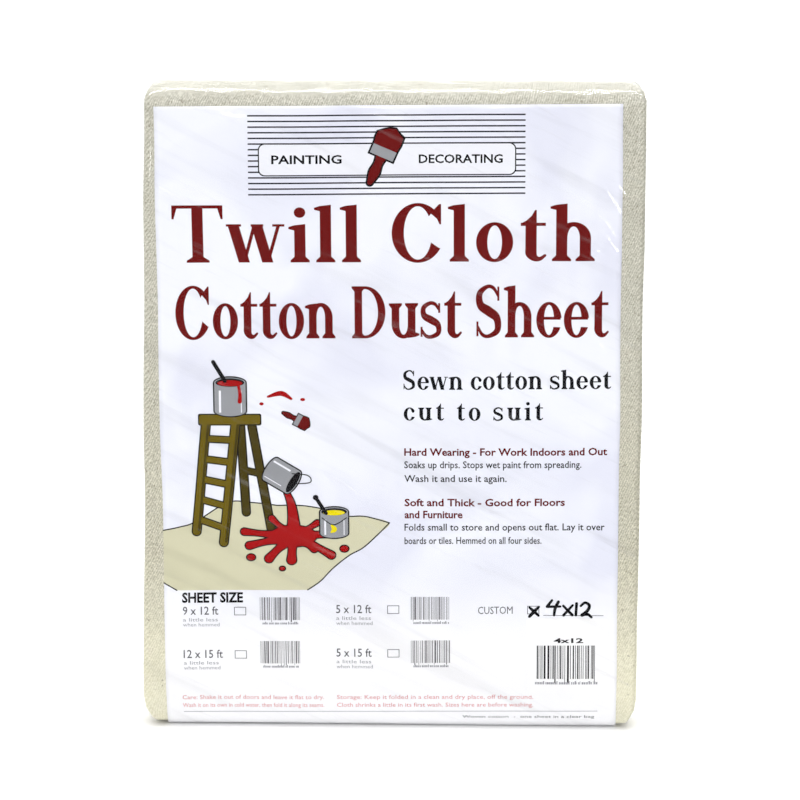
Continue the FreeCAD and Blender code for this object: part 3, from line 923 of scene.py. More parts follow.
def typed(text, bold):
    """Points and faces of the text in the built-in plain letters."""
    curve = bpy.data.curves.new("type", "FONT")
    curve.body = text
    curve.resolution_u = 2
    curve.offset = bold
    obj = bpy.data.objects.new("type", curve)
    bpy.context.scene.collection.objects.link(obj)
    graph = bpy.context.evaluated_depsgraph_get()
    graph.update()
    mesh = bpy.data.meshes.new_from_object(obj.evaluated_get(graph))
    points = np.array([v.co[:2] for v in mesh.vertices])
    faces = [tuple(p.vertices) for p in mesh.polygons]
    bpy.data.objects.remove(obj)
    bpy.data.curves.remove(curve)
    bpy.data.meshes.remove(mesh)
    return points, faces


TYPE_CAP = float(np.ptp(typed("H", 0.0)[0][:, 1]))


def print_type(name, lines, material, lift=INK_LIFT, bold=0.0, slot="insert"):
    """Lines of small type: each (text, u, baseline v, height of its capitals, width)."""
    points, faces = [], []
    for text, u, v, cap, width in lines:
        flat, letters = typed(text, bold)
        low, high = flat.min(0), flat.max(0)
        across = u + (flat[:, 0] - low[0]) / (high[0] - low[0]) * width
        down = v - flat[:, 1] * cap / TYPE_CAP
        faces += [tuple(i + len(points) for i in face) for face in letters]
        points += list(np.stack([across, down], -1) * MM)
    flat = np.array(points)
    return piece(make(name, on_print(flat[:, 0], flat[:, 1], lift * MM), faces), material)


def greeked(u0, u1, v, size, seed):
    """A line of running text, shown only as small marks the size of its letters."""
    rng = random.Random(seed)
    shapes, u, left = [], u0, rng.randint(3, 9)
    while u < u1 - 0.3 * size:
        width = size * rng.choice((0.16, 0.42, 0.5, 0.5, 0.58, 0.75))
        top = size * rng.choice((1.0, 1.0, 1.0, 1.45))
        shapes.append(block_shape(u, v - top, min(u + width, u1), v))
        u += width + 0.17 * size
        left -= 1
        if left == 0:
            u += 0.38 * size
            left = rng.randint(2, 9)
    return shapes


def barcode(u0, u1, v0, v1, seed, guard=0.0):
    rng = random.Random(seed)
    unit = (u1 - u0) / 95
    shapes, u = [], u0
    while u < u1 - unit:
        width = unit * rng.choice((1, 1, 1, 2, 2, 3))
        low = v1 + (guard if rng.random() < 0.12 else 0)
        shapes.append(block_shape(u, v0, min(u + width, u1), low))
        u += width + unit * rng.choice((1, 2, 2, 3))
    return shapes


# ---- What is printed ------------------------------------------------------------------------
def build_print(ink):
    print_ink("print_headline", serif_text("Twill Cloth", 9, 96, 35.4, 255, 1.08)
              + serif_text("Cotton Dust Sheet", 9.5, 143.5, 32.5, 263), ink["red"])
    print_ink("print_subheading", serif_text("Sewn cotton sheet", 148, 176, 12.2, 126)
              + serif_text("cut to suit", 148, 195.6, 12.2, 85), ink["black"])
    print_type("print_bold_lines", [
        ("Hard Wearing - For Work Indoors and Out", 148.5, 218.0, 4.5, 123.5),
        ("Soft and Thick - Good for Floors", 148.6, 250.3, 4.5, 98),
        ("and Furniture", 148.6, 258.0, 4.5, 35.5),
    ], ink["dark_red"], bold=0.024)
    print_type("print_text_lines", [
        ("Soaks up drips. Stops wet paint from spreading.", 148.5, 226.0, 4.3, 108),
        ("Wash it and use it again.", 148.5, 234.8, 4.3, 62.5),
        ("Folds small to store and opens out flat. Lay it over", 148.5, 266.0, 4.3, 122.5),
        ("boards or tiles. Hemmed on all four sides.", 148.5, 274.6, 4.3, 84),
    ], ink["text"], bold=0.011)
    build_badge(ink)
    build_picture(ink)
    build_sizes(ink)


def paint_brush(grow):
    """Handle, collar and bristles of a brush that points up, each wider by grow on every side."""
    g = grow
    spine = ((15.5, 3.0), (9, 6.0), (3, 4.6), (-2, 6.6))
    handle = brush([(0, y, width + 2 * g) for y, width in spine])
    collar = block_shape(-7.4 - g, -7.5 - g, 7.4 + g, -1.5 + g)
    hair = ([(-7.2 - g, -7), (7.2 + g, -7), (7.9 + g, -12), (7.6 + g, -17 - g), (4.4, -18.6 - g),
             (1.5, -20.6 - g), (-2.4, -19.4 - g), (-5.6, -17.2 - g), (-7.9 - g, -15.4),
             (-8.0 - g, -12)], [])
    return handle, collar, hair


def print_paint_brush(name, ink, edge, lift, **where):
    """A paint brush over its dark edge, each ink a little above the last."""
    handle, collar, hair = paint_brush(0.0)
    layers = (("_edge", paint_brush(edge), "black"), ("", [handle, hair], "red"),
              ("_collar", [collar], "tin"))
    for i, (part, shapes, colour) in enumerate(layers):
        print_ink(name + part, placed(shapes, **where), ink[colour], lift + 0.02 * i)


def build_badge(ink):
    """A band of fine rules with a plain plate and a paint brush on it."""
    lines = [block_shape(56, 5.7 + i * 3.43, 221.5, 6.6 + i * 3.43) for i in range(15)]
    print_ink("print_rules", lines, ink["line"], 0.03)
    print_ink("print_plate_edge", [rounded(62, 23, 216, 43, 4)], ink["black"], 0.05)
    print_ink("print_plate", [rounded(62.7, 23.7, 215.3, 42.3, 3.4)], ink["white"], 0.07)
    words = [("PAINTING", 70, 35.4, 5.0, 42), ("DECORATING", 158, 35.4, 5.0, 50)]
    print_type("print_plate_words", words, ink["black"], 0.09, bold=0.022)
    print_paint_brush("print_brush", ink, 1.1, 0.11, du=135, dv=33, turn=24)


def tin(w, h, grow=0.0):
    """Outline of a paint tin standing on its middle, with its rounded foot and mouth."""
    k, half = w * 0.17 + grow, w / 2 + grow
    return (ring_points(0, 0, half, k, 180, 0, 16) + ring_points(0, -h, half, k, 0, -180, 16), [])


def splash(grow):
    """A round puddle with arms that end in drops."""
    arms = ((-30, -3, 4.2), (-27, 6, 4.6), (-15, 14.5, 5.0), (-1, 15.5, 5.6), (13, 8.5, 4.2),
            (23.5, 12.5, 4.8), (24, -1.5, 5.0), (15, -8.5, 3.6), (-13, -11.5, 3.8))
    shapes = [(ring_points(0, 0, 14.5 + grow, 6.8 + grow), [])]
    for x, y, end in arms:
        shapes.append(brush([(0, 0, 9 + 2 * grow), (x * 0.6, y * 0.55, end * 0.8 + 2 * grow),
                             (x, y, end + 2 * grow)]))
    for x, y, r in ((-26, 13.6, 1.9), (31.5, 8.3, 1.9), (-6.8, 21, 1.2)):
        shapes.append((ring_points(x, y, r * 1.3 + grow, r + grow), []))
    return shapes


EDGE = 0.75                               # width of the dark edge round the picture's parts


def print_dust_sheet(ink):
    edge = [(0, 265.5), (10, 263.4), (20, 260), (40, 247.5), (54, 247.4), (70.6, 249.4), (86, 249.6),
            (101.4, 252.4), (113, 256.4), (124.6, 256.8), (139.3, 261), (132, 268.6), (123, 277),
            (114.5, 282), (104.5, 290.3), (96.5, 298.8), (88.6, 304.4)]
    corner = [(7.9, 304.4), (0, 299.6)]
    outline = [tuple(q) for q in smooth_line(edge, 5)]
    print_ink("picture_sheet", [(outline + corner, [])], ink["beige"], 0.03)
    lines = [brush(line, EDGE) for line in (edge[:6], edge[5:11], edge[10:], corner)]
    print_ink("picture_sheet_edge", lines, ink["black"], 0.05)


def ladder(grow):
    """The ladder's back legs and its front, each wider by grow on every side."""
    def bar(ends, width):
        return brush(list(ends), width + 2 * grow, False)

    back = [bar(leg, 4.4) for leg in (((49, 199), (51.5, 253.8)), ((56, 199), (66.6, 264.3)))]
    back.append(bar([(50.5, 226.5), (60.8, 229)], 3.4))
    rails = [((28, 197), (20.6, 266.3)), ((46, 197), (37.3, 273.4))]
    front = [bar(rail, 4.8) for rail in rails]
    for i in range(5):
        t = 0.14 + i * 0.185
        front.append(bar([(a[0] + (b[0] - a[0]) * t, a[1] + (b[1] - a[1]) * t) for a, b in rails], 3.6))
    front.append(rounded(24 - grow, 191.5 - grow, 61 + grow, 197.5 + grow, 1.2))
    return back, front


def print_ladder(ink):
    for kind, grow, colours, lift in (("edge", EDGE, ("black", "black"), 0.07),
                                      ("face", 0.0, ("olive_dark", "olive"), 0.09)):
        back, front = ladder(grow)
        print_ink(f"picture_ladder_back_{kind}", back, ink[colours[0]], lift)
        print_ink(f"picture_ladder_{kind}", front, ink[colours[1]], lift + 0.04)
    sides_in_shade = ([(47.3, 198), (38.8, 272.6)], [(29.3, 198), (22.1, 265.5)])
    shade = [brush(ends, 1.5, False) for ends in sides_in_shade]
    print_ink("picture_ladder_shade", shade, ink["olive_dark"], 0.15)


def print_splash(ink):
    path = ((75, 238, 2.2), (79, 248, 4.4), (80.4, 260, 6.6), (80, 266.5, 9.0))
    for kind, grow, colour, lift in (("edge", EDGE, "black", 0.15), ("face", 0.0, "bright_red", 0.17)):
        stream = brush([(x, y, width + 2 * grow) for x, y, width in path])
        shapes = placed(splash(grow), 80, 269.3) + [stream]
        print_ink(f"picture_splash_{kind}", shapes, ink[colour], lift)


def print_tins(ink):
    """A tin on the ladder, one falling off it and one on the floor, with their paint and handles."""
    stands = (({"du": 43, "dv": 189}, 19, 18), ({"du": 66.9, "dv": 226, "turn": 122}, 16.5, 16),
              ({"du": 105.4, "dv": 267.6}, 17, 14))
    rims, bodies, shades, mouths = [], [], [], []
    for where, w, h in stands:
        rims += placed([tin(w, h, 0.8)], **where)
        bodies += placed([tin(w, h)], **where)
        glints = [block_shape(-0.36 * w, -h + 5, -0.29 * w, 1),
                  block_shape(0.34 * w, -h + 5, 0.37 * w, 1)]
        shades += placed(glints, **where)
        mouths += placed([(ring_points(0, -h, w * 0.46, w * 0.14), [])], **where)
    yellow = [(ring_points(105.4, 254.2, 6.6, 1.7), []),
              brush([(104, 262.5, 1.6), (105.4, 265, 3.4), (103.6, 266.8, 1.2)])]
    red = [(ring_points(43, 171.4, 7.6, 1.9), []),
           brush([(48, 172.5, 1.8), (49, 178, 2.0), (48.8, 183, 2.6)])]
    handles = [brush([(82, 235.5), (91, 234.6), (89.6, 230.2), (80, 229)], 0.6),
               brush([(98, 257.5), (105, 262), (113, 257.5)], 0.6),
               brush([(100.5, 254.5), (94.5, 244.8)], 2.2, False),
               (ring_points(94.2, 244.4, 1.7, 1.7), []), brush([(40, 170), (33, 158)], 2.4, False)]
    for name, shapes, colour, lift in (
        ("tin_edges", rims, "black", 0.19), ("tins", bodies, "tin", 0.21),
        ("tin_shades", shades, "white", 0.23), ("tin_mouths", mouths, "black", 0.23),
        ("paint_yellow", yellow, "yellow", 0.25), ("paint_red", red, "bright_red", 0.25),
        ("handles", handles, "black", 0.27),
    ):
        print_ink(f"picture_{name}", shapes, ink[colour], lift)


def build_picture(ink):
    """A plain picture: a stepladder and paint tins on a dust sheet, with a puddle of paint."""
    print_dust_sheet(ink)
    print_ladder(ink)
    print_splash(ink)
    print_tins(ink)
    print_paint_brush("picture_brush", ink, 1.2, 0.07, du=82, dv=194, su=0.5, sv=0.5, turn=118)
    drops = [brush([(66, 180, 1.4), (74, 178, 3.2), (80, 181.5, 1.6)]),
             (ring_points(87, 182, 1.5, 1.0), []), (ring_points(62, 184.5, 1.3, 1.0), [])]
    print_ink("picture_drops", drops, ink["bright_red"], 0.07)


def tick_box(x, y):
    """A box with a thin border, from its top left corner."""
    border = 0.4
    outer = block_shape(x, y, x + 7.4, y + 5.4)[0]
    inner = block_shape(x + border, y + border, x + 7.4 - border, y + 5.4 - border)[0]
    return (outer, [inner])


PEN_STROKES = (
    # A cross in the last tick box, then 4 x 12: each point (u, v, width of the pen's line).
    ((225.4, 316.4, 1.4), (228.2, 319, 2.0), (231, 321.7, 1.5)),
    ((231.2, 316, 1.4), (228.3, 319, 2.2), (225.4, 322.3, 1.8)),
    ((239.2, 311.7, 1.5), (236.3, 315.8, 1.9)),
    ((236.3, 315.9, 1.7), (244.4, 315.7, 1.4)),
    ((243.2, 312.6, 1.8), (241.2, 317, 1.9), (240.6, 321.4, 1.5)),
    ((246.2, 315.2, 1.5), (251.8, 321.2, 1.8)),
    ((252, 314.8, 1.5), (246.4, 321.4, 1.7)),
    ((254.4, 313.6, 1.8), (254.0, 321.2, 1.7)),
    ((257, 315.2, 1.5), (259.6, 313.1, 1.7), (262.2, 314.8, 1.9), (261.2, 318.2, 2.0),
     (257.8, 321.2, 2.2)),
    ((257.8, 321.2, 2.0), (261.2, 320.6, 1.8), (263.6, 322.6, 1.5)),
)


def build_sizes(ink):
    """The table of sizes with tick boxes and barcodes."""
    heading = [("SHEET SIZE", 11, 312.3, 6.1, 37.6)]
    print_type("print_table_heading", heading, ink["black"], bold=0.034)
    signs, boxes, codes, notes, digits = [], [], [], [], []
    rows = ((319.6, ("9 x 12 ft", "5 x 12 ft")), (348.1, ("12 x 15 ft", "5 x 15 ft")))
    columns = ((11.4, 0.8, 59), (106, 0.0, 152.2))
    for row, (baseline, sizes) in enumerate(rows):
        for column, ((u, drop, start), text) in enumerate(zip(columns, sizes)):
            v = baseline + drop
            signs.append((text, u, v, 5.2, 2.42 * len(text)))
            notes += [("a little less", u, v + 4.4, 2.3, 21.5), ("when hemmed", u, v + 7.7, 2.3, 22.5)]
            boxes.append(tick_box(u + 31.6, v - 4.9))
            number = row * 2 + column
            codes += barcode(start, start + 24.6, baseline - 10.4, baseline + 4.4, 70 + number, 1.2)
            digits += greeked(start + 1.5, start + 23.5, baseline + 7.2, 1.2, 60 + number)
    print_type("print_table_sizes", signs, ink["grey"], bold=0.006)
    print_type("print_table_notes", notes, ink["light"])
    print_ink("print_code_digits", digits, ink["light"])
    boxes.append(tick_box(224, 315.4))
    boxes.append(block_shape(234, 321.4, 271, 321.75))
    print_ink("print_tick_boxes", boxes, ink["grey"])
    print_type("print_other", [("CUSTOM", 193.6, 320.4, 4.7, 21.4)], ink["grey"])
    print_ink("print_barcodes", codes, ink["code"])
    print_ink("pen_marks", [brush(list(stroke)) for stroke in PEN_STROKES], ink["pen"], 0.08)

    print_type("print_fine_lines", [
        ("Care: Shake it out of doors and leave it flat to dry.", 10, 376.2, 2.6, 88),
        ("Wash it on its own in cold water, then fold it along its seams.", 10, 381.4, 2.6, 88),
        ("Storage: Keep it folded in a clean and dry place, off the ground.", 106, 376.2, 2.6, 122),
        ("Cloth shrinks a little in its first wash. Sizes here are before washing.",
         106, 381.4, 2.6, 122),
    ], ink["pink"])
    print_ink("print_rule", [block_shape(10.5, 384.3, 268, 384.65)], ink["light"])
    bottom_line = [("Woven cotton  -  one sheet in a clear bag", 184, 389.4, 2.0, 82)]
    print_type("print_bottom_line", bottom_line, ink["grey"])


STICKER = 50.8                            # the label's side, its middle and its face over the sheet
STICKER_U, STICKER_V = 248.7, 348.8
STICKER_TOP = 0.12


def build_sticker(paper, ink):
    left, top = STICKER_U - STICKER / 2, STICKER_V - STICKER / 2
    outline = rounded(left, top, left + STICKER, top + STICKER, 2)
    obj = print_ink("size_label", [outline], paper, STICKER_TOP, slot="sticker")
    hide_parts("size_sticker")
    on_label = {"lift": STICKER_TOP + 0.03, "slot": "sticker"}
    print_ink("label_bars", barcode(230, 267, 341.2, 363.0, 44, 2.6), ink["thermal"], **on_label)
    print_type("label_size", [("4x12", 240.4, 339.4, 2.9, 18.2)], ink["thermal"], bold=0.03, **on_label)
    print_ink("label_digits", greeked(229, 268, 366.6, 1.5, 61), ink["light"], **on_label)


# ---- The bag --------------------------------------------------------------------------------
CREASES = [
    # x, z, x, z, bow, width, height: soft lines in the film, in millimetres.
    (-54, 112, 56, 52, 10, 1.8, 0.30), (-40, 104, 70, 60, 8, 1.5, 0.24),
    (-70, 98, 30, 44, 9, 1.9, 0.24), (-95, 118, 10, 76, 6, 1.6, 0.22),
    (-120, 96, -60, 72, 4, 1.4, 0.22), (40, 62, 128, 108, -9, 1.6, 0.24),
    (30, 52, 122, 92, -8, 1.5, 0.22), (-137, 284, -122, 277, 1, 0.7, 0.15),
    (-139, 276, -129, 266, 1, 0.7, 0.15), (-140, 262, -126, 256, 1, 0.7, 0.16),
    (-134, 273, -118, 266, 1, 0.7, 0.15), (-132, 262, -117, 256, 1, 0.7, 0.14),
    (-131, 254, -110, 243, 1, 0.9, 0.17), (-127, 236, -107, 228, 1, 0.8, 0.15),
    (-143, 242, -138, 238, 0, 0.7, 0.18), (-136, 230, -116, 222, 1, 0.8, 0.15),
    (-135, 297, -115, 288, 1, 0.7, 0.15), (-141, 308, -136, 300, 0, 0.7, 0.16),
    (-138, 330, -128, 318, 1, 0.7, 0.15), (-139, 352, -126, 342, 2, 0.8, 0.17),
    (118, 350, 139, 322, 3, 0.8, 0.18), (112, 336, 138, 306, 3, 0.8, 0.18),
    (118, 322, 139, 298, 2, 0.8, 0.17), (124, 342, 140, 322, 2, 0.7, 0.16),
    (126, 366, 141, 346, 2, 0.8, 0.18), (-30, 388, 60, 380, -3, 1.4, 0.25),
    (-120, 390, -60, 382, -3, 1.2, 0.3), (60, 392, 128, 384, 3, 1.3, 0.25),
    (-128, 378, -98, 386, 3, 1.0, 0.3), (70, 196, 138, 168, 6, 1.5, 0.2),
    (30, 150, 132, 118, -8, 1.8, 0.2),
]
SHORT_CREASES = 110                       # more of them, placed by chance, most near the edges


def crease_height(x, z):
    """How far the film's creases stand up at x, z."""
    rng = random.Random(77)
    lines = list(CREASES)
    for _ in range(SHORT_CREASES):
        edge = rng.random() < 0.7
        x0 = rng.choice((-1, 1)) * rng.uniform(104, 146) if edge else rng.uniform(-120, 120)
        z0 = rng.uniform(22, 392)
        length = rng.uniform(5, 22)
        turn = math.radians(rng.gauss(-38 if x0 > 0 else -58, 18))
        lines.append((x0, z0, x0 + length * math.cos(turn), z0 + length * math.sin(turn),
                      rng.uniform(-1.5, 1.5), rng.uniform(0.8, 1.1), rng.uniform(0.1, 0.26)))
    total = np.zeros_like(x)
    for x0, z0, x1, z1, bow, width, height in lines:
        a, b = np.array([x0, z0]) * MM, np.array([x1, z1]) * MM
        way = b - a
        size = math.hypot(*way)
        way = way / size
        t = ((x - a[0]) * way[0] + (z - a[1]) * way[1]) / size
        off = (x - a[0]) * -way[1] + (z - a[1]) * way[0] - bow * MM * 4 * t * (1 - t)
        fade = np.clip(np.minimum(t, 1 - t) * 5, 0, 1)
        fade = fade * fade * (3 - 2 * fade)
        total += height * MM * fade * np.exp(-(off / (width * MM)) ** 2)
    return total


FINE_FRONT = ripple(31, 30 * MM, 9 * MM, 20)
FINE_BACK = ripple(32, 45 * MM, 12 * MM, 20)

SIDE_STEPS = 6                            # faces on half a side, and on each corner beside it
CREST_STEPS = 23                          # faces on each half of the round top


def film_row(z, front_steps):
    """Points (x, y) of the film's section at height z, from left to right round the front."""
    left, right = (float(a) for a in sides(z, FILM_FACE))
    depth = float(half_depth(z, FILM_FACE))
    radius = min(SIDE_R + FILM_FACE, depth)
    flat = depth - radius
    shares = np.linspace(0, 1, SIDE_STEPS + 1)[:-1]
    row = [(0.0, -flat * t) for t in shares]
    for t in shares:
        angle = t * math.pi / 2
        row.append((radius * (1 - math.cos(angle)), -flat - radius * math.sin(angle)))
    start = [(left + x, y) for x, y in row]
    wide = right - left - 2 * radius
    face = [(left + radius + wide * t, -depth) for t in np.linspace(0, 1, front_steps)]
    end = [(right - x, y) for x, y in reversed(row)]
    return start + face + end


def levels(low, high, step):
    """Heights from high down to low, closer together where the section turns."""
    heights = []
    if high > TOP_BEND:
        angles = np.linspace(0, math.pi / 2, CREST_STEPS + 1)[:-1]
        heights = [TOP_BEND + (HALF + FILM_FACE) * math.cos(a) for a in angles]
        high = TOP_BEND
    return heights + list(np.linspace(high, low, max(2, int((high - low) / step))))


def film_mesh(low, high, step, back=False):
    """One face of the bag between two heights: its points from side to side, rows and columns."""
    front_steps = int((RIGHT - LEFT_BOTTOM) / step)
    heights = levels(low, high, step)
    points = [(x, -y if back else y, z) for z in heights for x, y in film_row(z, front_steps)]
    return np.array(points), len(heights), len(points) // len(heights)


def wrinkle(points, back=False):
    """Moves film points off the block: low ripples all over, creases on the front."""
    x, y, z = points.T
    flat = np.clip((np.abs(y) / half_depth(z, 0) - 0.5) * 3, 0, 1)
    if back:
        lift = 0.12 * MM * (FINE_BACK(x, z) + 1.0) * flat
    else:
        lift = 0.035 * MM * (FINE_FRONT(x, z) + 1.0) * flat + crease_height(x, z) * flat
    points = points.copy()
    points[:, 1] += np.where(y < 0, -lift, lift)
    over = np.clip((z - TOP_BEND) / HALF, 0, 1)
    inside = np.clip((1 - np.abs(x) / RIGHT) * 20, 0, 1)
    points[:, 2] += over * 0.12 * MM * FINE_FRONT(x, y * 3) * inside
    return settle(points)


def moved_on(faces, start):
    """The faces, for points that come after the first start ones."""
    return [tuple(i + start for i in face) for face in faces]


def build_front(film):
    """The front panel and the film over the top, in one piece."""
    step = 1.0 * MM
    points, rows, columns = film_mesh(GUSSET, TOP + FILM_FACE, step)
    faces = grid_faces(rows, columns, flip=True)
    over, over_rows, _ = film_mesh(TOP_BEND, TOP + FILM_FACE, step, back=True)
    faces += moved_on(grid_faces(over_rows, columns), len(points))
    front = make("film_front", np.concatenate([wrinkle(points), wrinkle(over, back=True)]), faces)
    weld(front)
    piece(front, film, replaces=["bag_front_film"])


def build_bottom(film):
    """The folded bottom: both faces up to the gusset's top, and the sole that joins them."""
    points, faces, lowest = [], [], []
    for is_back in (False, True):
        part, rows, columns = film_mesh(BASE - FILM_FACE, GUSSET, 1.5 * MM, is_back)
        part = wrinkle(part, is_back)
        faces += moved_on(grid_faces(rows, columns, flip=not is_back), len(points))
        points += list(part)
        lowest.append(part[-columns:][SIDE_STEPS:-SIDE_STEPS])
    sole = [lowest[0] * (1 - t) + lowest[1] * t for t in np.linspace(0, 1, 14)]
    faces += moved_on(grid_faces(len(sole), len(sole[0]), flip=True), len(points))
    points += [p for row in sole for p in row]
    bottom = make("film_bottom", points, faces)
    weld(bottom)
    piece(bottom, film, replaces=["bag_bottom_film"])


def build_welds(film):
    """The raised bead down each side of the bag."""
    section = ((0.2, -0.5), (0.7, -0.14), (1.15, 0.0), (0.7, 0.14), (0.2, 0.5))
    for side, name in enumerate(("left", "right")):
        node = f"bag_seam_{name}"
        low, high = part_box(node)
        heights = np.linspace(low.z, high.z, 240)
        wobble = ripple(60 + side, 40 * MM, 9 * MM)
        points = []
        for z in heights:
            sway = 0.25 * MM * float(wobble(z, 0.3))
            for i, (out, across) in enumerate(section):
                if i == 2:
                    out += 0.2 * float(wobble(z, 0.0))
                x = float(sides(z, FILM_FACE + out * MM)[side])
                points.append((x, across * MM + sway * (0 < i < 4), z))
        obj = make(f"film_weld_{name}", settle(points), grid_faces(len(heights), 5, flip=side == 0))
        piece(obj, film, replaces=[node])


def build_bag(film):
    build_front(film)
    points, rows, columns = film_mesh(GUSSET, TOP_BEND, 2.5 * MM, back=True)
    back = make("film_back", wrinkle(points, back=True), grid_faces(rows, columns))
    piece(back, film, replaces=["bag_back_film"])
    build_bottom(film)
    build_welds(film)


FLAP_LENGTH = flap_high.z - flap_low.z
FLAP_CORNER = 5 * MM
CURL = 1.4 * MM                           # how far the flap's free end stands off the back
TAPE_LIFT = 0.12 * MM                     # tape to the flap's face
TAPE_DROP = 1.1 * MM                      # how far the tape goes down off the flap's end


def flap_point(u, v, lift=0.0):
    """Point of the flap, u across from its left edge seen from the front and v down from its fold."""
    u, v = np.ravel(u), np.ravel(v)
    x, z = flap_low.x + u, HINGE[2] - v
    wave = 0.22 * MM * (FINE_BACK(x, z + 0.4) + 1.0) * np.clip(v / (12 * MM), 0, 1)
    curl = CURL * np.clip(v / (92 * MM), 0, 1) ** 6 * (1 + 0.5 * FINE_BACK(x * 0.4, 0.1))
    return np.stack([x, HINGE[1] + back_swell(x, z) + wave + curl + lift, z], -1)


def edge_map(inwards):
    """A texture map whose u is the distance to the nearest cut edge."""
    return np.stack([inwards.ravel(), inwards.ravel()], -1)


def build_flap(film, tape):
    """The bag's loose end on the back, and the two tapes that hold it down."""
    width = flap_high.x - flap_low.x
    columns, rows = 120, 44
    u, v = np.meshgrid(np.linspace(0, 1, columns), np.linspace(0, 1, rows))
    down = v * FLAP_LENGTH
    past = np.clip(down - FLAP_LENGTH + FLAP_CORNER, 0, FLAP_CORNER)
    pull = FLAP_CORNER - np.sqrt(np.clip(FLAP_CORNER**2 - past**2, 0, None))
    inwards = np.minimum(np.minimum(u, 1 - u) * width, (1 - v) * FLAP_LENGTH)
    points = flap_point(pull + u * (width - 2 * pull), down)
    flap = make("film_flap", points, grid_faces(rows, columns), uv=edge_map(inwards))
    piece(flap, film, body="flap", replaces=["bag_flap"])
    for side in ("left", "right"):
        build_tape(side, tape)


def build_tape(side, tape):
    """A piece of tape half on the flap and half past its end, with toothed ends."""
    node = f"closure_tape_{side}"
    low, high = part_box(node)
    width, length = high.x - low.x, high.z - low.z
    columns, rows = 49, 40
    u, v = np.meshgrid(np.linspace(0, 1, columns), np.linspace(0, 1, rows))
    teeth = 0.55 * MM * (np.arange(columns) % 2 * 2 - 1)
    end = np.where((v == 0) | (v == 1), 1.0, 0.0)
    down = HINGE[2] - high.z + v * length + end * teeth
    points = flap_point(low.x - flap_low.x + u * width, down, TAPE_LIFT)
    points[:, 1] -= TAPE_DROP * np.clip((down.ravel() - FLAP_LENGTH) / (6 * MM), 0, 1)
    inwards = np.minimum(np.minimum(u, 1 - u) * width, np.minimum(v, 1 - v) * length)
    obj = make(f"clear_tape_{side}", points, grid_faces(rows, columns), uv=edge_map(inwards))
    piece(obj, tape, body="flap", replaces=[node])


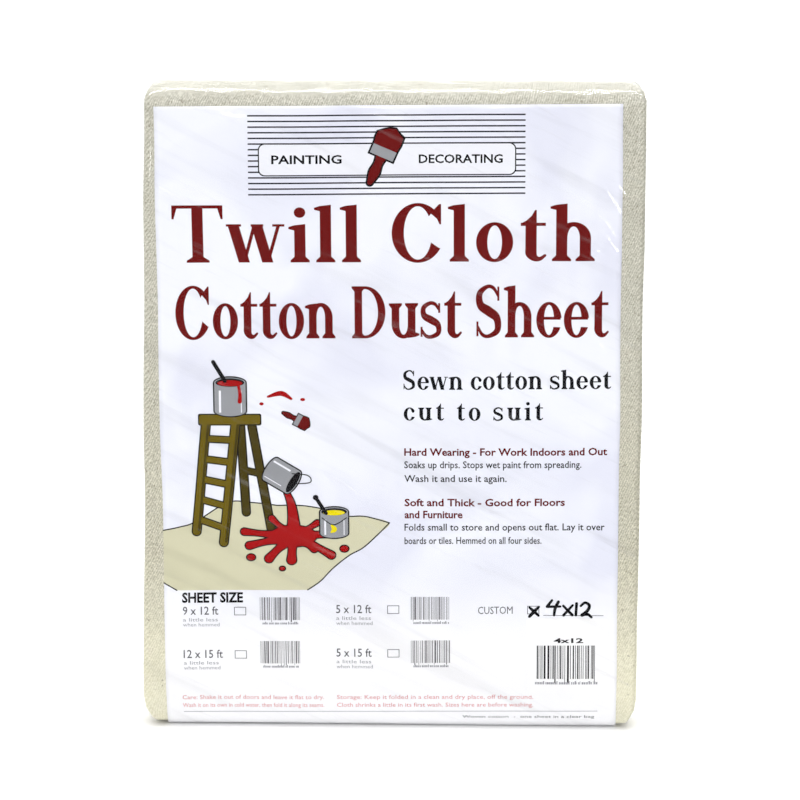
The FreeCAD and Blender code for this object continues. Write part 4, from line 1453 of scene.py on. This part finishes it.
# ---- Floor, light and camera ----------------------------------------------------------------
def build_stage():
    n = Nodes("floor_white")
    place = n.add("TexCoord").outputs["Object"]
    tone = n.blend(n.noise(place, 3.0), srgb(250, 250, 250), srgb(253, 253, 253))
    material = n.surface(Base_Color=tone, Roughness=0.9, Specular_IOR_Level=0.1)
    size = 14.0
    floor = make("floor", [(-size, -size, 0), (size, -size, 0), (size, size, 0), (-size, size, 0)],
                 [(0, 1, 2, 3)], smooth=False)
    floor.data.materials.append(material)

    world = bpy.data.worlds.new("studio")
    world.use_nodes = True
    back = world.node_tree.nodes["Background"]
    back.inputs["Color"].default_value = (1.0, 1.0, 1.0, 1)
    back.inputs["Strength"].default_value = 0.775
    bpy.context.scene.world = world

    # name, place, aim, width, height, watts, lights matt surfaces too
    for name, place, aim, size_x, size_y, power, matt in (
        ("top_softbox", (0, 0.1, 2.2), (0, 0.05, 0), 2.4, 1.6, 27.0, True),
        ("front_softbox", (-0.9, -1.9, 1.3), (0, 0, 0.2), 0.6, 0.6, 4.0, True),
        ("floor_softbox", (0, 4.2, 2.6), (0, 4.0, 0), 6.0, 3.0, 110.0, True),
        ("shine_strip", (0, -0.31, 1.9), (0, -0.31, 0), 2.8, 0.4, 150.0, False),
        ("shine_overhead", (0, 0.95, 1.9), (0, 0.95, 0), 2.8, 2.0, 45.0, False),
        ("shine_right", (0.62, -1.9, 0.12), (0, 0, 0.2), 0.12, 0.1, 6.0, False),
        ("shine_left", (-0.74, -1.9, 0.14), (0, 0, 0.2), 0.12, 0.1, 6.0, False),
        ("shine_front", (-0.15, -1.9, 0.48), (0, 0, 0.2), 0.2, 0.08, 6.0, False),
        ("shine_behind", (1.3, 1.6, 0.55), (0, 0, 0.2), 0.7, 0.25, 40.0, False),
    ):
        light = bpy.data.lights.new(name, "AREA")
        light.shape = "RECTANGLE"
        light.size, light.size_y = size_x, size_y
        light.energy = power
        obj = bpy.data.objects.new(name, light)
        obj.location = place
        obj.rotation_euler = (Vector(aim) - Vector(place)).to_track_quat("-Z", "Y").to_euler()
        obj.visible_diffuse = matt
        obj.visible_glossy = name != "front_softbox"
        obj.visible_camera = False
        bpy.context.scene.collection.objects.link(obj)


def build_camera():
    """The photograph's view: a long lens from the front and a little above."""
    elevation, azimuth = math.radians(13.74), math.radians(-1.34)
    distance = 1.881
    target = Vector((6.6 * MM, 0, 206.7 * MM))
    ahead = Vector((math.sin(azimuth) * math.cos(elevation), math.cos(azimuth) * math.cos(elevation),
                    -math.sin(elevation)))
    data = bpy.data.cameras.new("camera")
    data.sensor_width = 36
    data.lens = 138.2
    camera = bpy.data.objects.new("camera", data)
    camera.location = target - ahead * distance
    camera.rotation_euler = ahead.to_track_quat("-Z", "Y").to_euler()
    bpy.context.scene.collection.objects.link(camera)
    bpy.context.scene.camera = camera
    bpy.context.scene.view_settings.view_transform = "Standard"


# ---- Build ----------------------------------------------------------------------------------
INKS = {
    "red": (106, 16, 15), "dark_red": (98, 10, 14), "black": (20, 19, 22), "text": (40, 39, 44),
    "grey": (84, 83, 88), "light": (150, 150, 156), "line": (44, 42, 48), "white": (240, 241, 248),
    "tin": (152, 154, 158), "beige": (211, 208, 177), "olive": (108, 92, 20),
    "olive_dark": (70, 60, 16), "bright_red": (165, 16, 18), "yellow": (232, 214, 20),
    "code": (92, 90, 94), "pen": (12, 12, 16), "pink": (216, 140, 140), "thermal": (44, 42, 44),
}

canvas = canvas_material()
film = film_material("clear_film", 0.09, (0.99, 0.99, 0.995, 1))
lip_film = film_material("lip_film", 0.40, (0.95, 0.955, 0.96, 1), cut_edge=True)
tape = film_material("clear_tape", 0.25, (0.94, 0.92, 0.84, 1), 0.16, cut_edge=True)
paper = paper_material()
inks = {name: ink_material("ink_" + name, *colour) for name, colour in INKS.items()}

build_camera()
build_stage()
build_cloth(canvas, thread_material())
build_insert(paper)
build_print(inks)
build_sticker(ink_material("label_paper", 250, 250, 250), inks)
build_bag(film)
build_flap(lip_film, tape)
